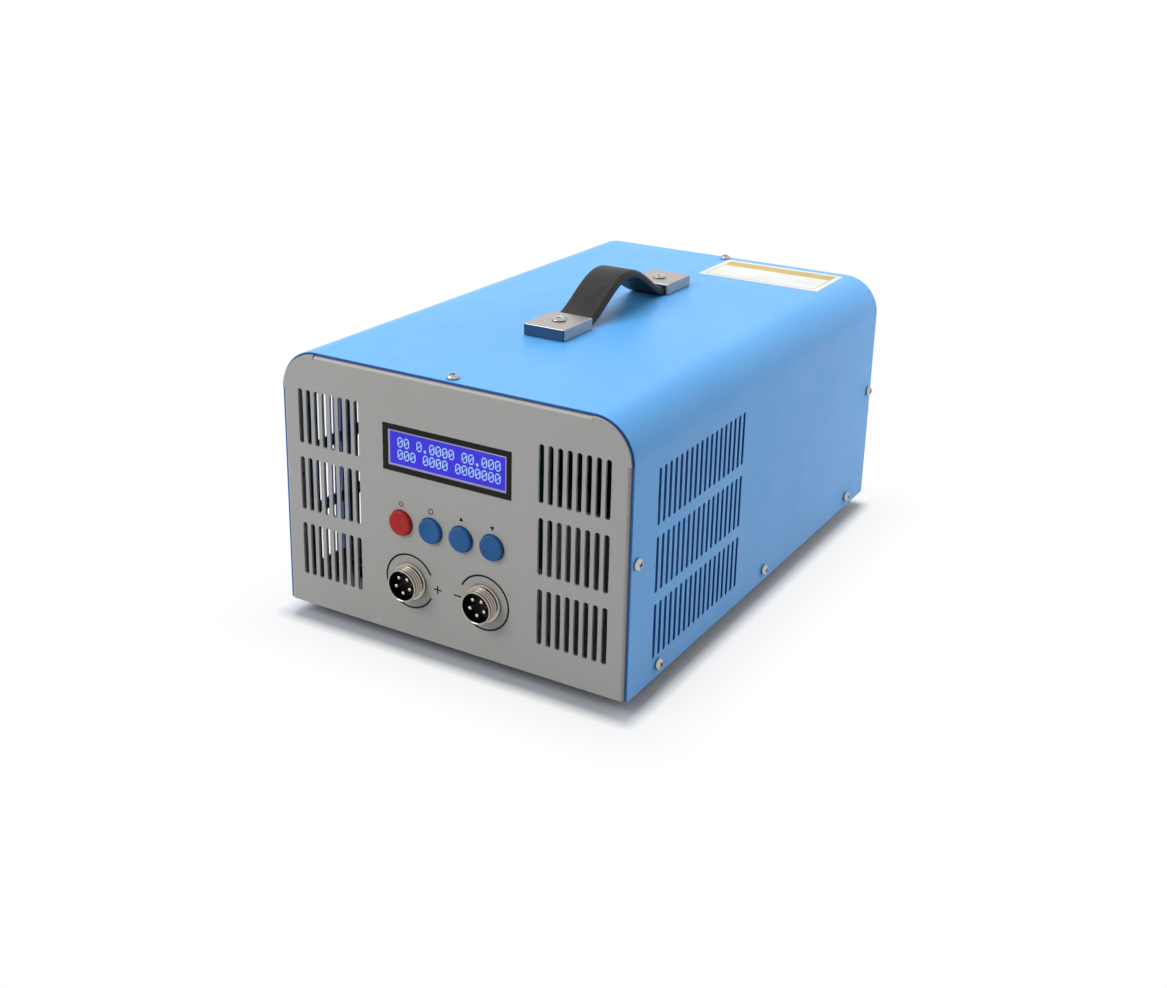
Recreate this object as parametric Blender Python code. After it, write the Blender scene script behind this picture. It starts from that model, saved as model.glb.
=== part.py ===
"""Bench battery tester: folded steel case, front controls, power stage, fan and carrying strap.

Every place is given in the case's own frame: X runs to the right seen from the front, Y is the depth
behind the cover's front edge, and Z is the height above the cover's lower edge. One empty carries that
frame, and sets the whole tester on its feet with the origin under the middle of its box.
"""
import math

import bmesh
import bpy
from mathutils import Matrix, Vector

MM = 0.001
GAP = 0.3 * MM

# Case
CASE_WIDTH = 190 * MM
CASE_HEIGHT = 130 * MM
CASE_LENGTH = 290 * MM
COVER_SHEET = 1.2 * MM
COVER_BEND = 20 * MM
COVER_LIFT = 8 * MM
PANEL_SHEET = 1.2 * MM
PANEL_PROUD = 1.5 * MM
PANEL_BEND = 2.4 * MM
PANEL_FLANGE = 12 * MM
PANEL_BASE = 0.5 * MM
EAR_SLIT = 0.5 * MM
EAR_OVERLAP = 1.0 * MM
FLOOR_SHEET = 1.2 * MM
FLOOR_RISE = 0.8 * MM
FLOOR_BEND = 2.4 * MM
FLOOR_FLANGE = 12 * MM
SEAM_OVERLAP = 1.0 * MM

# Vents in the cover's sides
SIDE_VENT_COLUMNS = 18
SIDE_VENT_PITCH = 5.05 * MM
SIDE_VENT_WIDTH = 2.5 * MM
SIDE_VENT_SETBACK = 23.5 * MM
SIDE_VENT_BOTTOM = 10.9 * MM
SIDE_VENT_HEADROOM = 27.6 * MM
SIDE_VENT_BRIDGE = 5.55 * MM

# Vents in the front panel
FRONT_VENT_PITCH = 4.73 * MM
FRONT_VENT_WIDTH = 2.8 * MM
FRONT_VENT_CLEARANCE = 15.4 * MM
FRONT_VENT_MARGIN = 11.5 * MM
FRONT_VENT_BOTTOM = 15.95 * MM
FRONT_VENT_HEADROOM = 18.55 * MM
FRONT_VENT_BRIDGE = 6.8 * MM
VENT_ROWS = 3

# Screws
SCREW_HEAD_RADIUS = 2.9 * MM
SCREW_HEAD_HEIGHT = 2.0 * MM
SCREW_RADIUS = 1.5 * MM
SCREW_LENGTH = 6 * MM
SCREW_DOME = math.radians(42)
PANEL_SCREW_SETBACK = 4.5 * MM
PANEL_SCREW_HEIGHT = 64.5 * MM
FLOOR_SCREW_SETBACK = 28 * MM
FLOOR_SCREW_HEIGHT = 6.2 * MM

# Feet
FOOT_RADIUS = 8 * MM
FOOT_TIP_RADIUS = 7 * MM
FOOT_NECK_RADIUS = 2.5 * MM
FOOT_BARB_RADIUS = 3.8 * MM
FOOT_BARB_HEIGHT = 2.6 * MM
FOOT_INSET = 15 * MM
FOOT_FRONT_SETBACK = 35 * MM
FOOT_REAR_SETBACK = 38 * MM

# Carrying strap and its end caps
CAP_WIDTH = 23.2 * MM
CAP_LENGTH = 27 * MM
CAP_HEIGHT = 5.8 * MM
CAP_END_WALL = 1.6 * MM
CAP_EDGE = 0.7 * MM
HANDLE_MIDDLE = 147.5 * MM
HANDLE_SPAN = 81 * MM
STRAP_WIDTH = 20 * MM
STRAP_THICKNESS = 4.2 * MM
STRAP_RISE = 17 * MM
STRAP_STEPS = 18
STRAP_FULLNESS = 0.8
STRAP_EDGE = 1.2 * MM
HANDLE_SCREW_RADIUS = 2.0 * MM
HANDLE_SCREW_HEAD = 4.2 * MM
HANDLE_SCREW_HEIGHT = 1.6 * MM
HANDLE_SCREW_LENGTH = 11 * MM
HANDLE_SCREW_INSET = 12.5 * MM

# Display
DISPLAY_WIDTH = 69.8 * MM
DISPLAY_HEIGHT = 22.4 * MM
DISPLAY_PLACE = 0.4057
DISPLAY_RIM = 2.6 * MM
DISPLAY_SHEET = 0.6 * MM
DISPLAY_DEPTH = 7 * MM
DISPLAY_GLASS = 4 * MM
DISPLAY_BOARD_WIDTH = 79.4 * MM
DISPLAY_BOARD_HEIGHT = 35 * MM

# Control board and the push buttons in front of it
BOARD_THICKNESS = 1.6 * MM
CONTROL_DEPTH = 12 * MM
CONTROL_WIDTH = 92 * MM
CONTROL_DROP = 11 * MM
CONTROL_HEADROOM = 2.4 * MM
STUD_RADIUS = 2.0 * MM
STUD_SPREAD = 42.5 * MM
STUD_INSET = 3.5 * MM
BUTTON_NAMES = ("start_button", "set_button", "up_button", "down_button")
BUTTON_RADIUS = 6.05 * MM
BUTTON_PITCH = 16.8 * MM
BUTTON_HEIGHT = 57 * MM
BUTTON_REACH = 2.0 * MM
BUTTON_EDGE = 0.5 * MM
BUTTON_TRAVEL = 0.5 * MM
BUTTON_RIM_RADIUS = 7.2 * MM
BUTTON_RIM = 1.2 * MM
BUTTON_STEM_RADIUS = 2.5 * MM
BUTTON_STEM = 2.9 * MM
SWITCH_SIDE = 12 * MM
SWITCH_HEIGHT = 3.5 * MM
SWITCH_PLUNGER_RADIUS = 3.3 * MM

# Output sockets
SOCKET_SPREAD = 20.7 * MM
SOCKET_HEIGHT = 28.5 * MM
SOCKET_REACH = 7.0 * MM
SOCKET_RADIUS = 7.9 * MM
SOCKET_BORE = 7.1 * MM
SOCKET_BODY_RADIUS = 7.6 * MM
SOCKET_BODY_BORE = 6.3 * MM
SOCKET_FLANGE_RADIUS = 9.3 * MM
SOCKET_FLANGE = 1.4 * MM
SOCKET_BODY = 10.5 * MM
SOCKET_CAVITY = 6.0 * MM
SOCKET_SHOULDER = 9.5 * MM
INSERT_TAIL = 1.0 * MM
PIN_COUNT = 5
PIN_CIRCLE = 4.05 * MM
PIN_RADIUS = 0.95 * MM
PIN_SIDES = 6
PIN_RECESS = 0.9 * MM
PIN_TAIL = 3.5 * MM
NUT_FLATS = 19 * MM
NUT_HEIGHT = 2.5 * MM

# Heatsink, load board and power supply
BAY_MARGIN = 7 * MM
SINK_RIGHT = -10 * MM
SINK_LENGTH = 126 * MM
SINK_REAR_SETBACK = 44 * MM
SINK_HEADROOM = 52 * MM
SINK_BASE = 6 * MM
SINK_FIN_COUNT = 10
SINK_FIN = 2.0 * MM
SINK_FIN_TIP = 14 * MM
SINK_LEG = 3 * MM
SINK_TOE = 4 * MM
LOAD_BOARD_LIFT = 6 * MM
LOAD_BOARD_MARGIN = 2 * MM
TRANSISTOR_COUNT = 4
TRANSISTOR_INSET = 10 * MM
TRANSISTOR_WIDTH = 15 * MM
TRANSISTOR_LENGTH = 20 * MM
CAPACITOR_RADIUS = 9 * MM
CAPACITOR_HEIGHT = 25 * MM
CAPACITOR_COUNT = 3
COIL_RADIUS = 13 * MM
COMPONENT_STEPS = 12
COIL_HOLE = 6 * MM
COIL_HEIGHT = 12 * MM
TERMINAL_SIZE = 10 * MM
TERMINAL_SPREAD = 22 * MM
SUPPLY_LEFT = 10 * MM
SUPPLY_LENGTH = 160 * MM
SUPPLY_REAR_SETBACK = 55 * MM
SUPPLY_TOP = 48 * MM
SUPPLY_STEP = 16 * MM
SUPPLY_STEP_HEIGHT = 22 * MM
SUPPLY_BARRIERS = 7
SUPPLY_BARRIER = 1.6 * MM
SUPPLY_BLOCK_HEIGHT = 12 * MM

# Fan behind the rear grille
FAN_SIDE = 80 * MM
FAN_DEPTH = 25 * MM
FAN_CORNER = 5 * MM
FAN_SIDE_MARGIN = 9 * MM
FAN_LIFT = 16 * MM
FAN_DUCT_WALL = 2 * MM
FAN_DUCT_STEPS = 28
FAN_CORNER_STEPS = 3
FAN_HUB_RADIUS = 17 * MM
FAN_HUB_DEPTH = 18 * MM
FAN_HUB_EDGE = 0.7 * MM
FAN_BASE_DEPTH = 4 * MM
FAN_BLADE_COUNT = 7
FAN_BLADE_STATIONS = 4
FAN_TIP_GAP = 1.5 * MM
FAN_BLADE_CHORD = 20 * MM
FAN_BLADE_THICKNESS = 1.4 * MM
FAN_BLADE_ROOT_PITCH = math.radians(48)
FAN_BLADE_TIP_PITCH = math.radians(28)
FAN_ARM_COUNT = 4
FAN_ARM = 5 * MM
FAN_SHAFT_RADIUS = 1.5 * MM
FAN_SHAFT = 2.5 * MM
FAN_SCREW_INSET = 4.25 * MM
GRILLE_PITCH = 6 * MM
GRILLE_WIDTH = 3.4 * MM
GRILLE_MARGIN = 1 * MM
GRILLE_RIB = 5 * MM

# Mains inlet, power switch and data port on the rear panel
INLET_X = 50 * MM
INLET_Z = 30 * MM
INLET_WIDTH = 30 * MM
INLET_HEIGHT = 22 * MM
INLET_RIM = 3.8 * MM
INLET_RIM_MARGIN = 3 * MM
INLET_CHAMFER = 5 * MM
INLET_DEPTH = 20 * MM
INLET_WALL = 2.5 * MM
INLET_CAVITY = 15.5 * MM
INLET_PIN_RECESS = 5 * MM
INLET_PIN_SPREAD = 7 * MM
INLET_PIN_OFFSET = 2 * MM
INLET_PIN_WIDTH = 2 * MM
INLET_PIN_HEIGHT = 4 * MM
INLET_PIN_TAIL = 6 * MM
SWITCH_X = 50 * MM
SWITCH_Z = 66 * MM
SWITCH_BODY_WIDTH = 13 * MM
SWITCH_BODY_HEIGHT = 19 * MM
SWITCH_RIM = 1.6 * MM
SWITCH_RIM_MARGIN = 1.6 * MM
SWITCH_BODY_DEPTH = 14 * MM
SWITCH_WALL = 1.4 * MM
SWITCH_WELL = 10 * MM
ROCKER_DEPTH = 7 * MM
ROCKER_REACH = 0.9 * MM
ROCKER_SINK = 0.2 * MM
ROCKER_DISH = 0.8 * MM
ROCKER_TILT = math.radians(9)
PORT_X = 18 * MM
PORT_Z = 66 * MM
PORT_WIDTH = 12 * MM
PORT_HEIGHT = 10.8 * MM
PORT_DEPTH = 16 * MM
PORT_WALL = 0.8 * MM
PORT_CAVITY = 9 * MM
PORT_TONGUE = 3 * MM

# Leads
LEAD_RADIUS = 2.0 * MM
MAINS_LEAD_RADIUS = 1.4 * MM
LEAD_STRAIGHT = 14 * MM
LEAD_ENTRY = 8 * MM
LEAD_BENDS = ((0.3, 0.32, 0.09), (0.7, 0.56, 0.55), (1.0, 0.8, 0.93))
MAINS_STRAIGHT = 6 * MM
MAINS_CREST = 4 * MM
RIBBON_WIDTH = 14 * MM
RIBBON_THICKNESS = 1.0 * MM
RIBBON_SAG = 10 * MM
RIBBON_STEPS = 14

# Faceting
ROUND_STEPS = 16
SMALL_ROUND_STEPS = 8
BEND_STEPS = 6
SLOT_STEPS = 3
SIDE_SLOT_STEPS = 2

# Places that follow from the sizes above
BUTTON_TOP = BUTTON_HEIGHT + BUTTON_RIM_RADIUS
PANEL_FACE = -PANEL_PROUD
PANEL_BACK = PANEL_FACE + PANEL_SHEET
REAR_FACE = CASE_LENGTH + PANEL_PROUD
REAR_BACK = REAR_FACE - PANEL_SHEET
INNER_HALF = CASE_WIDTH / 2 - COVER_SHEET - GAP
INNER_TOP = CASE_HEIGHT - COVER_SHEET - GAP
FLOOR_TOP = FLOOR_RISE + FLOOR_SHEET
DISPLAY_SPACE = INNER_TOP - PANEL_SHEET - BUTTON_TOP - DISPLAY_BOARD_HEIGHT
DISPLAY_CENTRE = BUTTON_TOP + DISPLAY_PLACE * DISPLAY_SPACE + DISPLAY_BOARD_HEIGHT / 2
CONTROL_BASE = BUTTON_HEIGHT - CONTROL_DROP
CONTROL_TOP = DISPLAY_CENTRE + DISPLAY_BOARD_HEIGHT / 2 + CONTROL_HEADROOM
SINK_LEFT = BAY_MARGIN - CASE_WIDTH / 2
SINK_REAR = CASE_LENGTH - SINK_REAR_SETBACK
SINK_FRONT = SINK_REAR - SINK_LENGTH
SINK_TOP = CASE_HEIGHT - SINK_HEADROOM
SUPPLY_RIGHT = CASE_WIDTH / 2 - BAY_MARGIN
SUPPLY_REAR = CASE_LENGTH - SUPPLY_REAR_SETBACK
SUPPLY_FRONT = SUPPLY_REAR - SUPPLY_LENGTH
FAN_CENTRE_X = FAN_SIDE_MARGIN + FAN_SIDE / 2 - CASE_WIDTH / 2
FAN_CENTRE_Z = FAN_LIFT + FAN_SIDE / 2
FAN_DUCT_RADIUS = FAN_SIDE / 2 - FAN_DUCT_WALL
FAN_BLADE_RADIUS = FAN_DUCT_RADIUS - FAN_TIP_GAP
FAN_SCREW_SPREAD = FAN_SIDE / 2 - FAN_SCREW_INSET
GRILLE_RADIUS = FAN_DUCT_RADIUS - GRILLE_MARGIN
FRONT_REACH = PANEL_PROUD + SOCKET_REACH
REAR_REACH = PANEL_PROUD + INLET_RIM
FRONT_EDGE = FRONT_REACH - (CASE_LENGTH + FRONT_REACH + REAR_REACH) / 2


def clear_scene():
    """Start from an empty scene."""
    for item in list(bpy.data.objects):
        bpy.data.objects.remove(item, do_unlink=True)


def make_material(name, colour, roughness, metallic=0.0):
    """A Principled finish with one colour, roughness and metallic value."""
    material = bpy.data.materials.new(name)
    material.use_nodes = True
    shader = material.node_tree.nodes["Principled BSDF"]
    shader.inputs["Base Color"].default_value = (*colour, 1.0)
    shader.inputs["Roughness"].default_value = roughness
    shader.inputs["Metallic"].default_value = metallic
    material.diffuse_color = (*colour, 1.0)
    return material


def along(axis, u, v, w):
    """The point at (u, v) across an axis and w along it."""
    if axis == "X":
        return Vector((w, u, v))
    if axis == "Y":
        return Vector((u, w, v))
    return Vector((u, v, w))


def arc(centre_u, centre_v, radius, start, end, steps):
    """Points on an arc between two angles in degrees, both ends included."""
    points = []
    for step in range(steps + 1):
        angle = math.radians(start + (end - start) * step / steps)
        points.append((centre_u + radius * math.cos(angle), centre_v + radius * math.sin(angle)))
    return points


def circle(centre_u, centre_v, radius, steps=SMALL_ROUND_STEPS):
    """A closed round outline."""
    return arc(centre_u, centre_v, radius, 0, 360 - 360 / steps, steps - 1)


def rectangle(low_u, low_v, high_u, high_v):
    """A closed rectangular outline."""
    return [(low_u, low_v), (high_u, low_v), (high_u, high_v), (low_u, high_v)]


def upright_slot(centre_u, centre_v, width, length, steps=SLOT_STEPS):
    """A closed upright slot with round ends."""
    radius = width / 2
    reach = length / 2 - radius
    upper = arc(centre_u, centre_v + reach, radius, 0, 180, steps)
    lower = arc(centre_u, centre_v - reach, radius, 180, 360, steps)
    return upper + lower


def add_prism(bm, outline, axis, start, end):
    """Extrude a closed outline along an axis."""
    corners = [bm.verts.new(along(axis, u, v, start)) for u, v in outline]
    cap = bm.faces.new(corners)
    swept = bmesh.ops.extrude_face_region(bm, geom=[cap])["geom"]
    moved = [item for item in swept if isinstance(item, bmesh.types.BMVert)]
    bmesh.ops.translate(bm, verts=moved, vec=along(axis, 0, 0, end - start))
    return corners + moved


def add_block(bm, low, high):
    """A closed block between two corners."""
    return add_prism(bm, rectangle(low[0], low[1], high[0], high[1]), "Z", low[2], high[2])


def add_turned(bm, profile, axis, centre=(0, 0, 0), steps=ROUND_STEPS, closed=False):
    """Spin (radius, distance) points about an axis; a closed profile makes a ring."""
    middle = Vector(centre)
    rail = [bm.verts.new(middle + along(axis, radius, 0, distance)) for radius, distance in profile]
    edges = [bm.edges.new(pair) for pair in zip(rail, rail[1:])]
    if closed:
        edges.append(bm.edges.new((rail[-1], rail[0])))
    bmesh.ops.spin(bm, geom=rail + edges, cent=middle, axis=along(axis, 0, 0, 1),
                   angle=math.tau, steps=steps, use_merge=True)
    bmesh.ops.remove_doubles(bm, verts=bm.verts, dist=0.01 * MM)


def add_cylinder(bm, axis, centre, radius, start, end, steps=SMALL_ROUND_STEPS):
    """A closed cylinder along an axis; centre gives its place across the axis."""
    return add_prism(bm, circle(centre[0], centre[1], radius, steps), axis, start, end)


def make_part(name, bm, material, place=(0, 0, 0)):
    """Turn a bmesh into a named piece of the case frame."""
    bmesh.ops.recalc_face_normals(bm, faces=bm.faces)
    mesh = bpy.data.meshes.new(name)
    bm.to_mesh(mesh)
    bm.free()
    mesh.materials.append(material)
    return place_mesh(name, mesh, place)


def place_mesh(name, mesh, place, turn=None):
    """Put a mesh into the case frame as a named object."""
    part = bpy.data.objects.new(name, mesh)
    bpy.context.scene.collection.objects.link(part)
    part.parent = bpy.data.objects["case_frame"]
    part.location = place
    if turn is not None:
        part.rotation_euler = turn
    return part


def make_tool(name, bm, place=(0, 0, 0)):
    """A cutter or an addition that only a Boolean uses."""
    bmesh.ops.recalc_face_normals(bm, faces=bm.faces)
    mesh = bpy.data.meshes.new(name)
    bm.to_mesh(mesh)
    bm.free()
    tool = place_mesh(name, mesh, place)
    tool.hide_render = True
    tool.display_type = "WIRE"
    return tool


def combine(part, tool, operation):
    """Cut a tool out of a part, or join it on."""
    modifier = part.modifiers.new(tool.name, "BOOLEAN")
    modifier.operation = operation
    modifier.object = tool


def smooth_round(part, angle=35):
    """Shade a round piece smooth, and keep its sharp edges."""
    part.data.shade_smooth()
    part.data.set_sharp_from_angle(angle=math.radians(angle))


def bevel_edges(bm, width, chosen, segments=1):
    """Round the edges for which the test is true."""
    edges = [edge for edge in bm.edges if chosen(edge)]
    bmesh.ops.bevel(bm, geom=edges, offset=width, segments=segments, profile=0.5,
                    affect="EDGES", clamp_overlap=True)


def band_outline(path, thickness):
    """The outline of a band of even thickness along an open path."""
    upper = []
    lower = []
    for index, (u, v) in enumerate(path):
        before = path[max(index - 1, 0)]
        after = path[min(index + 1, len(path) - 1)]
        run = Vector((after[0] - before[0], after[1] - before[1])).normalized()
        upper.append((u - run.y * thickness / 2, v + run.x * thickness / 2))
        lower.append((u + run.y * thickness / 2, v - run.x * thickness / 2))
    return upper + lower[::-1]


def flange_outline(edge, face, inward, reach, bend, sheet):
    """Section of a folded flange: across the fold, and along the depth behind the face."""
    outer = arc(0, bend, bend, -90, 0, BEND_STEPS // 2)
    inner = arc(0, bend, bend - sheet, 0, -90, BEND_STEPS // 2)
    side = math.copysign(1, edge)
    root = abs(edge) - bend
    points = [(-SEAM_OVERLAP, 0)] + outer + [(bend, reach), (bend - sheet, reach)] + inner
    points.append((-SEAM_OVERLAP, sheet))
    return [(side * (root + across), face + inward * depth) for across, depth in points]


def arch_outline(half, top, bend):
    """An inverted U from its left foot over the top to its right foot."""
    points = [(-half, 0.0)]
    points += arc(-half + bend, top - bend, bend, 180, 90, BEND_STEPS)
    points += arc(half - bend, top - bend, bend, 90, 0, BEND_STEPS)
    points.append((half, 0.0))
    return points


def vent_rows(bottom, headroom, bridge):
    """Length of a vent and the height of each row, between the bottom and the headroom."""
    length = (CASE_HEIGHT - bottom - headroom - (VENT_ROWS - 1) * bridge) / VENT_ROWS
    return length, [bottom + length / 2 + row * (length + bridge) for row in range(VENT_ROWS)]


def front_vent_columns():
    """How far from the middle each column of front vents stands."""
    inner = DISPLAY_WIDTH / 2 + FRONT_VENT_CLEARANCE
    outer = CASE_WIDTH / 2 - FRONT_VENT_MARGIN
    columns = int((outer - inner) / FRONT_VENT_PITCH) + 1
    return [inner + column * FRONT_VENT_PITCH for column in range(columns)]


def screw_places():
    """Depth and height of each side screw, the same on both sides."""
    return {
        "front": (PANEL_SCREW_SETBACK, PANEL_SCREW_HEIGHT),
        "floor_front": (FLOOR_SCREW_SETBACK, FLOOR_SCREW_HEIGHT),
        "floor_middle": (CASE_LENGTH / 2, FLOOR_SCREW_HEIGHT),
        "floor_rear": (CASE_LENGTH - FLOOR_SCREW_SETBACK, FLOOR_SCREW_HEIGHT),
        "rear": (CASE_LENGTH - PANEL_SCREW_SETBACK, PANEL_SCREW_HEIGHT),
    }


def top_screw_places():
    """Depth of each screw in the middle of the top."""
    return {"front": PANEL_SCREW_SETBACK, "rear": CASE_LENGTH - PANEL_SCREW_SETBACK}


def handle_ends():
    """Depth of each cap's strap end, and the way it points towards the strap's middle."""
    return {
        "front": (HANDLE_MIDDLE - HANDLE_SPAN / 2, 1),
        "rear": (HANDLE_MIDDLE + HANDLE_SPAN / 2, -1),
    }


def handle_screw_depths():
    """Depth of the screw through each cap."""
    return {side: mouth - way * HANDLE_SCREW_INSET for side, (mouth, way) in handle_ends().items()}


def make_cover(paint):
    """The blue inverted U, with three rows of vents in each side and its screw holes."""
    bm = bmesh.new()
    outer = arch_outline(CASE_WIDTH / 2, CASE_HEIGHT, COVER_BEND)
    inner = arch_outline(CASE_WIDTH / 2 - COVER_SHEET, CASE_HEIGHT - COVER_SHEET, COVER_BEND - COVER_SHEET)
    add_prism(bm, outer + inner[::-1], "Y", 0.0, CASE_LENGTH)
    cover = make_part("cover", bm, paint)

    cuts = bmesh.new()
    reach = CASE_WIDTH
    length, heights = vent_rows(SIDE_VENT_BOTTOM, SIDE_VENT_HEADROOM, SIDE_VENT_BRIDGE)
    for column in range(SIDE_VENT_COLUMNS):
        depth = SIDE_VENT_SETBACK + column * SIDE_VENT_PITCH
        for height in heights:
            slot = upright_slot(depth, height, SIDE_VENT_WIDTH, length, SIDE_SLOT_STEPS)
            add_prism(cuts, slot, "X", -reach, reach)
    for place in screw_places().values():
        add_cylinder(cuts, "X", place, SCREW_RADIUS + GAP, -reach, reach)
    for depth in top_screw_places().values():
        add_cylinder(cuts, "Z", (0, depth), SCREW_RADIUS + GAP, CASE_HEIGHT / 2, 2 * CASE_HEIGHT)
    for depth in handle_screw_depths().values():
        add_cylinder(cuts, "Z", (0, depth), HANDLE_SCREW_RADIUS + GAP, CASE_HEIGHT / 2, 2 * CASE_HEIGHT)
    combine(cover, make_tool("cover_cuts", cuts), "DIFFERENCE")
    return cover


def panel_plate_outline():
    """The flat of a panel: straight where a flange is folded back, full out to the round corners."""
    fold = INNER_HALF - PANEL_BEND
    fold_top = INNER_TOP - PANEL_BEND
    bend_centre_x = CASE_WIDTH / 2 - COVER_BEND
    bend_centre_z = CASE_HEIGHT - COVER_BEND
    ear = INNER_HALF + EAR_OVERLAP - bend_centre_x
    points = [(-fold, PANEL_BASE), (fold, PANEL_BASE), (fold, bend_centre_z)]
    points += arc(bend_centre_x, bend_centre_z, ear, 0, 90, BEND_STEPS)
    points += [(bend_centre_x, fold_top), (-bend_centre_x, fold_top)]
    points += arc(-bend_centre_x, bend_centre_z, ear, 90, 180, BEND_STEPS)
    points.append((-fold, bend_centre_z))
    return points


def make_panel(name, face, inward, metal):
    """A panel folded from sheet, with a flange on each side and on the top."""
    bm = bmesh.new()
    add_prism(bm, panel_plate_outline(), "Y", face, face + inward * PANEL_SHEET)
    panel = make_part(name, bm, metal)

    flanges = bmesh.new()
    reach = PANEL_FLANGE + PANEL_PROUD
    side_top = CASE_HEIGHT - COVER_BEND - EAR_SLIT
    top_half = CASE_WIDTH / 2 - COVER_BEND - EAR_SLIT
    for side in (-1, 1):
        section = flange_outline(side * INNER_HALF, face, inward, reach, PANEL_BEND, PANEL_SHEET)
        add_prism(flanges, section, "Z", PANEL_BASE, side_top)
    section = flange_outline(INNER_TOP, face, inward, reach, PANEL_BEND, PANEL_SHEET)
    upright = [(depth, height) for height, depth in section]
    add_prism(flanges, upright, "X", -top_half, top_half)
    combine(panel, make_tool(name + "_flanges", flanges), "UNION")
    return panel


def cut_flange_holes(cuts, depth):
    """Clearance holes for the screws in a panel's side and top flanges."""
    add_cylinder(cuts, "X", (depth, PANEL_SCREW_HEIGHT), SCREW_RADIUS + GAP, -CASE_WIDTH, CASE_WIDTH)
    add_cylinder(cuts, "Z", (0, depth), SCREW_RADIUS + GAP, CASE_HEIGHT - COVER_BEND, 2 * CASE_HEIGHT)


def button_columns():
    """Where each push button stands across the panel."""
    middle = (len(BUTTON_NAMES) - 1) / 2
    return {name: (index - middle) * BUTTON_PITCH for index, name in enumerate(BUTTON_NAMES)}


def stud_places():
    """The four studs that carry the control board."""
    heights = (CONTROL_BASE + STUD_INSET, CONTROL_TOP - STUD_INSET)
    return [(side * STUD_SPREAD, height) for side in (-1, 1) for height in heights]


def make_front_panel(metal):
    """Front panel: vents, display window, button and socket holes, and studs for the board."""
    panel = make_panel("front_panel", PANEL_FACE, 1, metal)

    studs = bmesh.new()
    for place in stud_places():
        add_cylinder(studs, "Y", place, STUD_RADIUS, PANEL_FACE + PANEL_SHEET / 2, CONTROL_DEPTH - GAP)
    combine(panel, make_tool("front_panel_studs", studs), "UNION")

    cuts = bmesh.new()
    before = PANEL_FACE - PANEL_SHEET
    behind = PANEL_BACK + PANEL_SHEET
    length, heights = vent_rows(FRONT_VENT_BOTTOM, FRONT_VENT_HEADROOM, FRONT_VENT_BRIDGE)
    for side in (-1, 1):
        for across in front_vent_columns():
            for height in heights:
                slot = upright_slot(side * across, height, FRONT_VENT_WIDTH, length)
                add_prism(cuts, slot, "Y", before, behind)
        hole = circle(side * SOCKET_SPREAD, SOCKET_HEIGHT, SOCKET_BODY_RADIUS + GAP, ROUND_STEPS)
        add_prism(cuts, hole, "Y", before, behind)
    for across in button_columns().values():
        hole = circle(across, BUTTON_HEIGHT, BUTTON_RADIUS + GAP, ROUND_STEPS)
        add_prism(cuts, hole, "Y", before, behind)
    half = DISPLAY_WIDTH / 2 + GAP
    rise = DISPLAY_HEIGHT / 2 + GAP
    add_prism(cuts, rectangle(-half, DISPLAY_CENTRE - rise, half, DISPLAY_CENTRE + rise), "Y", before, behind)
    cut_flange_holes(cuts, PANEL_SCREW_SETBACK)
    combine(panel, make_tool("front_panel_cuts", cuts), "DIFFERENCE")
    return panel


def fan_screw_places():
    """Where the fan's four screws pass the rear panel."""
    return {
        "upper_left": (FAN_CENTRE_X - FAN_SCREW_SPREAD, FAN_CENTRE_Z + FAN_SCREW_SPREAD),
        "upper_right": (FAN_CENTRE_X + FAN_SCREW_SPREAD, FAN_CENTRE_Z + FAN_SCREW_SPREAD),
        "lower_left": (FAN_CENTRE_X - FAN_SCREW_SPREAD, FAN_CENTRE_Z - FAN_SCREW_SPREAD),
        "lower_right": (FAN_CENTRE_X + FAN_SCREW_SPREAD, FAN_CENTRE_Z - FAN_SCREW_SPREAD),
    }


def inlet_outline(grow=0.0):
    """The inlet's mouth: a rectangle with its two upper corners cut off."""
    half = INLET_WIDTH / 2 + grow
    rise = INLET_HEIGHT / 2 + grow
    chamfer = INLET_CHAMFER
    return [
        (INLET_X - half, INLET_Z - rise),
        (INLET_X + half, INLET_Z - rise),
        (INLET_X + half, INLET_Z + rise - chamfer),
        (INLET_X + half - chamfer, INLET_Z + rise),
        (INLET_X - half + chamfer, INLET_Z + rise),
        (INLET_X - half, INLET_Z + rise - chamfer),
    ]


def centred_rectangle(centre, width, height, grow=0.0):
    """A rectangle about a centre, grown on every side."""
    half = width / 2 + grow
    rise = height / 2 + grow
    return rectangle(centre[0] - half, centre[1] - rise, centre[0] + half, centre[1] + rise)


def grille_slots():
    """Upright slots that fill the fan's circle, each column split by a middle rib."""
    slots = []
    columns = int(GRILLE_RADIUS // GRILLE_PITCH)
    for column in range(-columns, columns + 1):
        offset = column * GRILLE_PITCH
        reach = math.sqrt(max(GRILLE_RADIUS ** 2 - (abs(offset) + GRILLE_WIDTH / 2) ** 2, 0.0))
        length = reach - GRILLE_RIB / 2
        if length < 2 * GRILLE_WIDTH:
            continue
        for side in (-1, 1):
            height = FAN_CENTRE_Z + side * (GRILLE_RIB / 2 + length / 2)
            slots.append(upright_slot(FAN_CENTRE_X + offset, height, GRILLE_WIDTH, length))
    return slots


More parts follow.
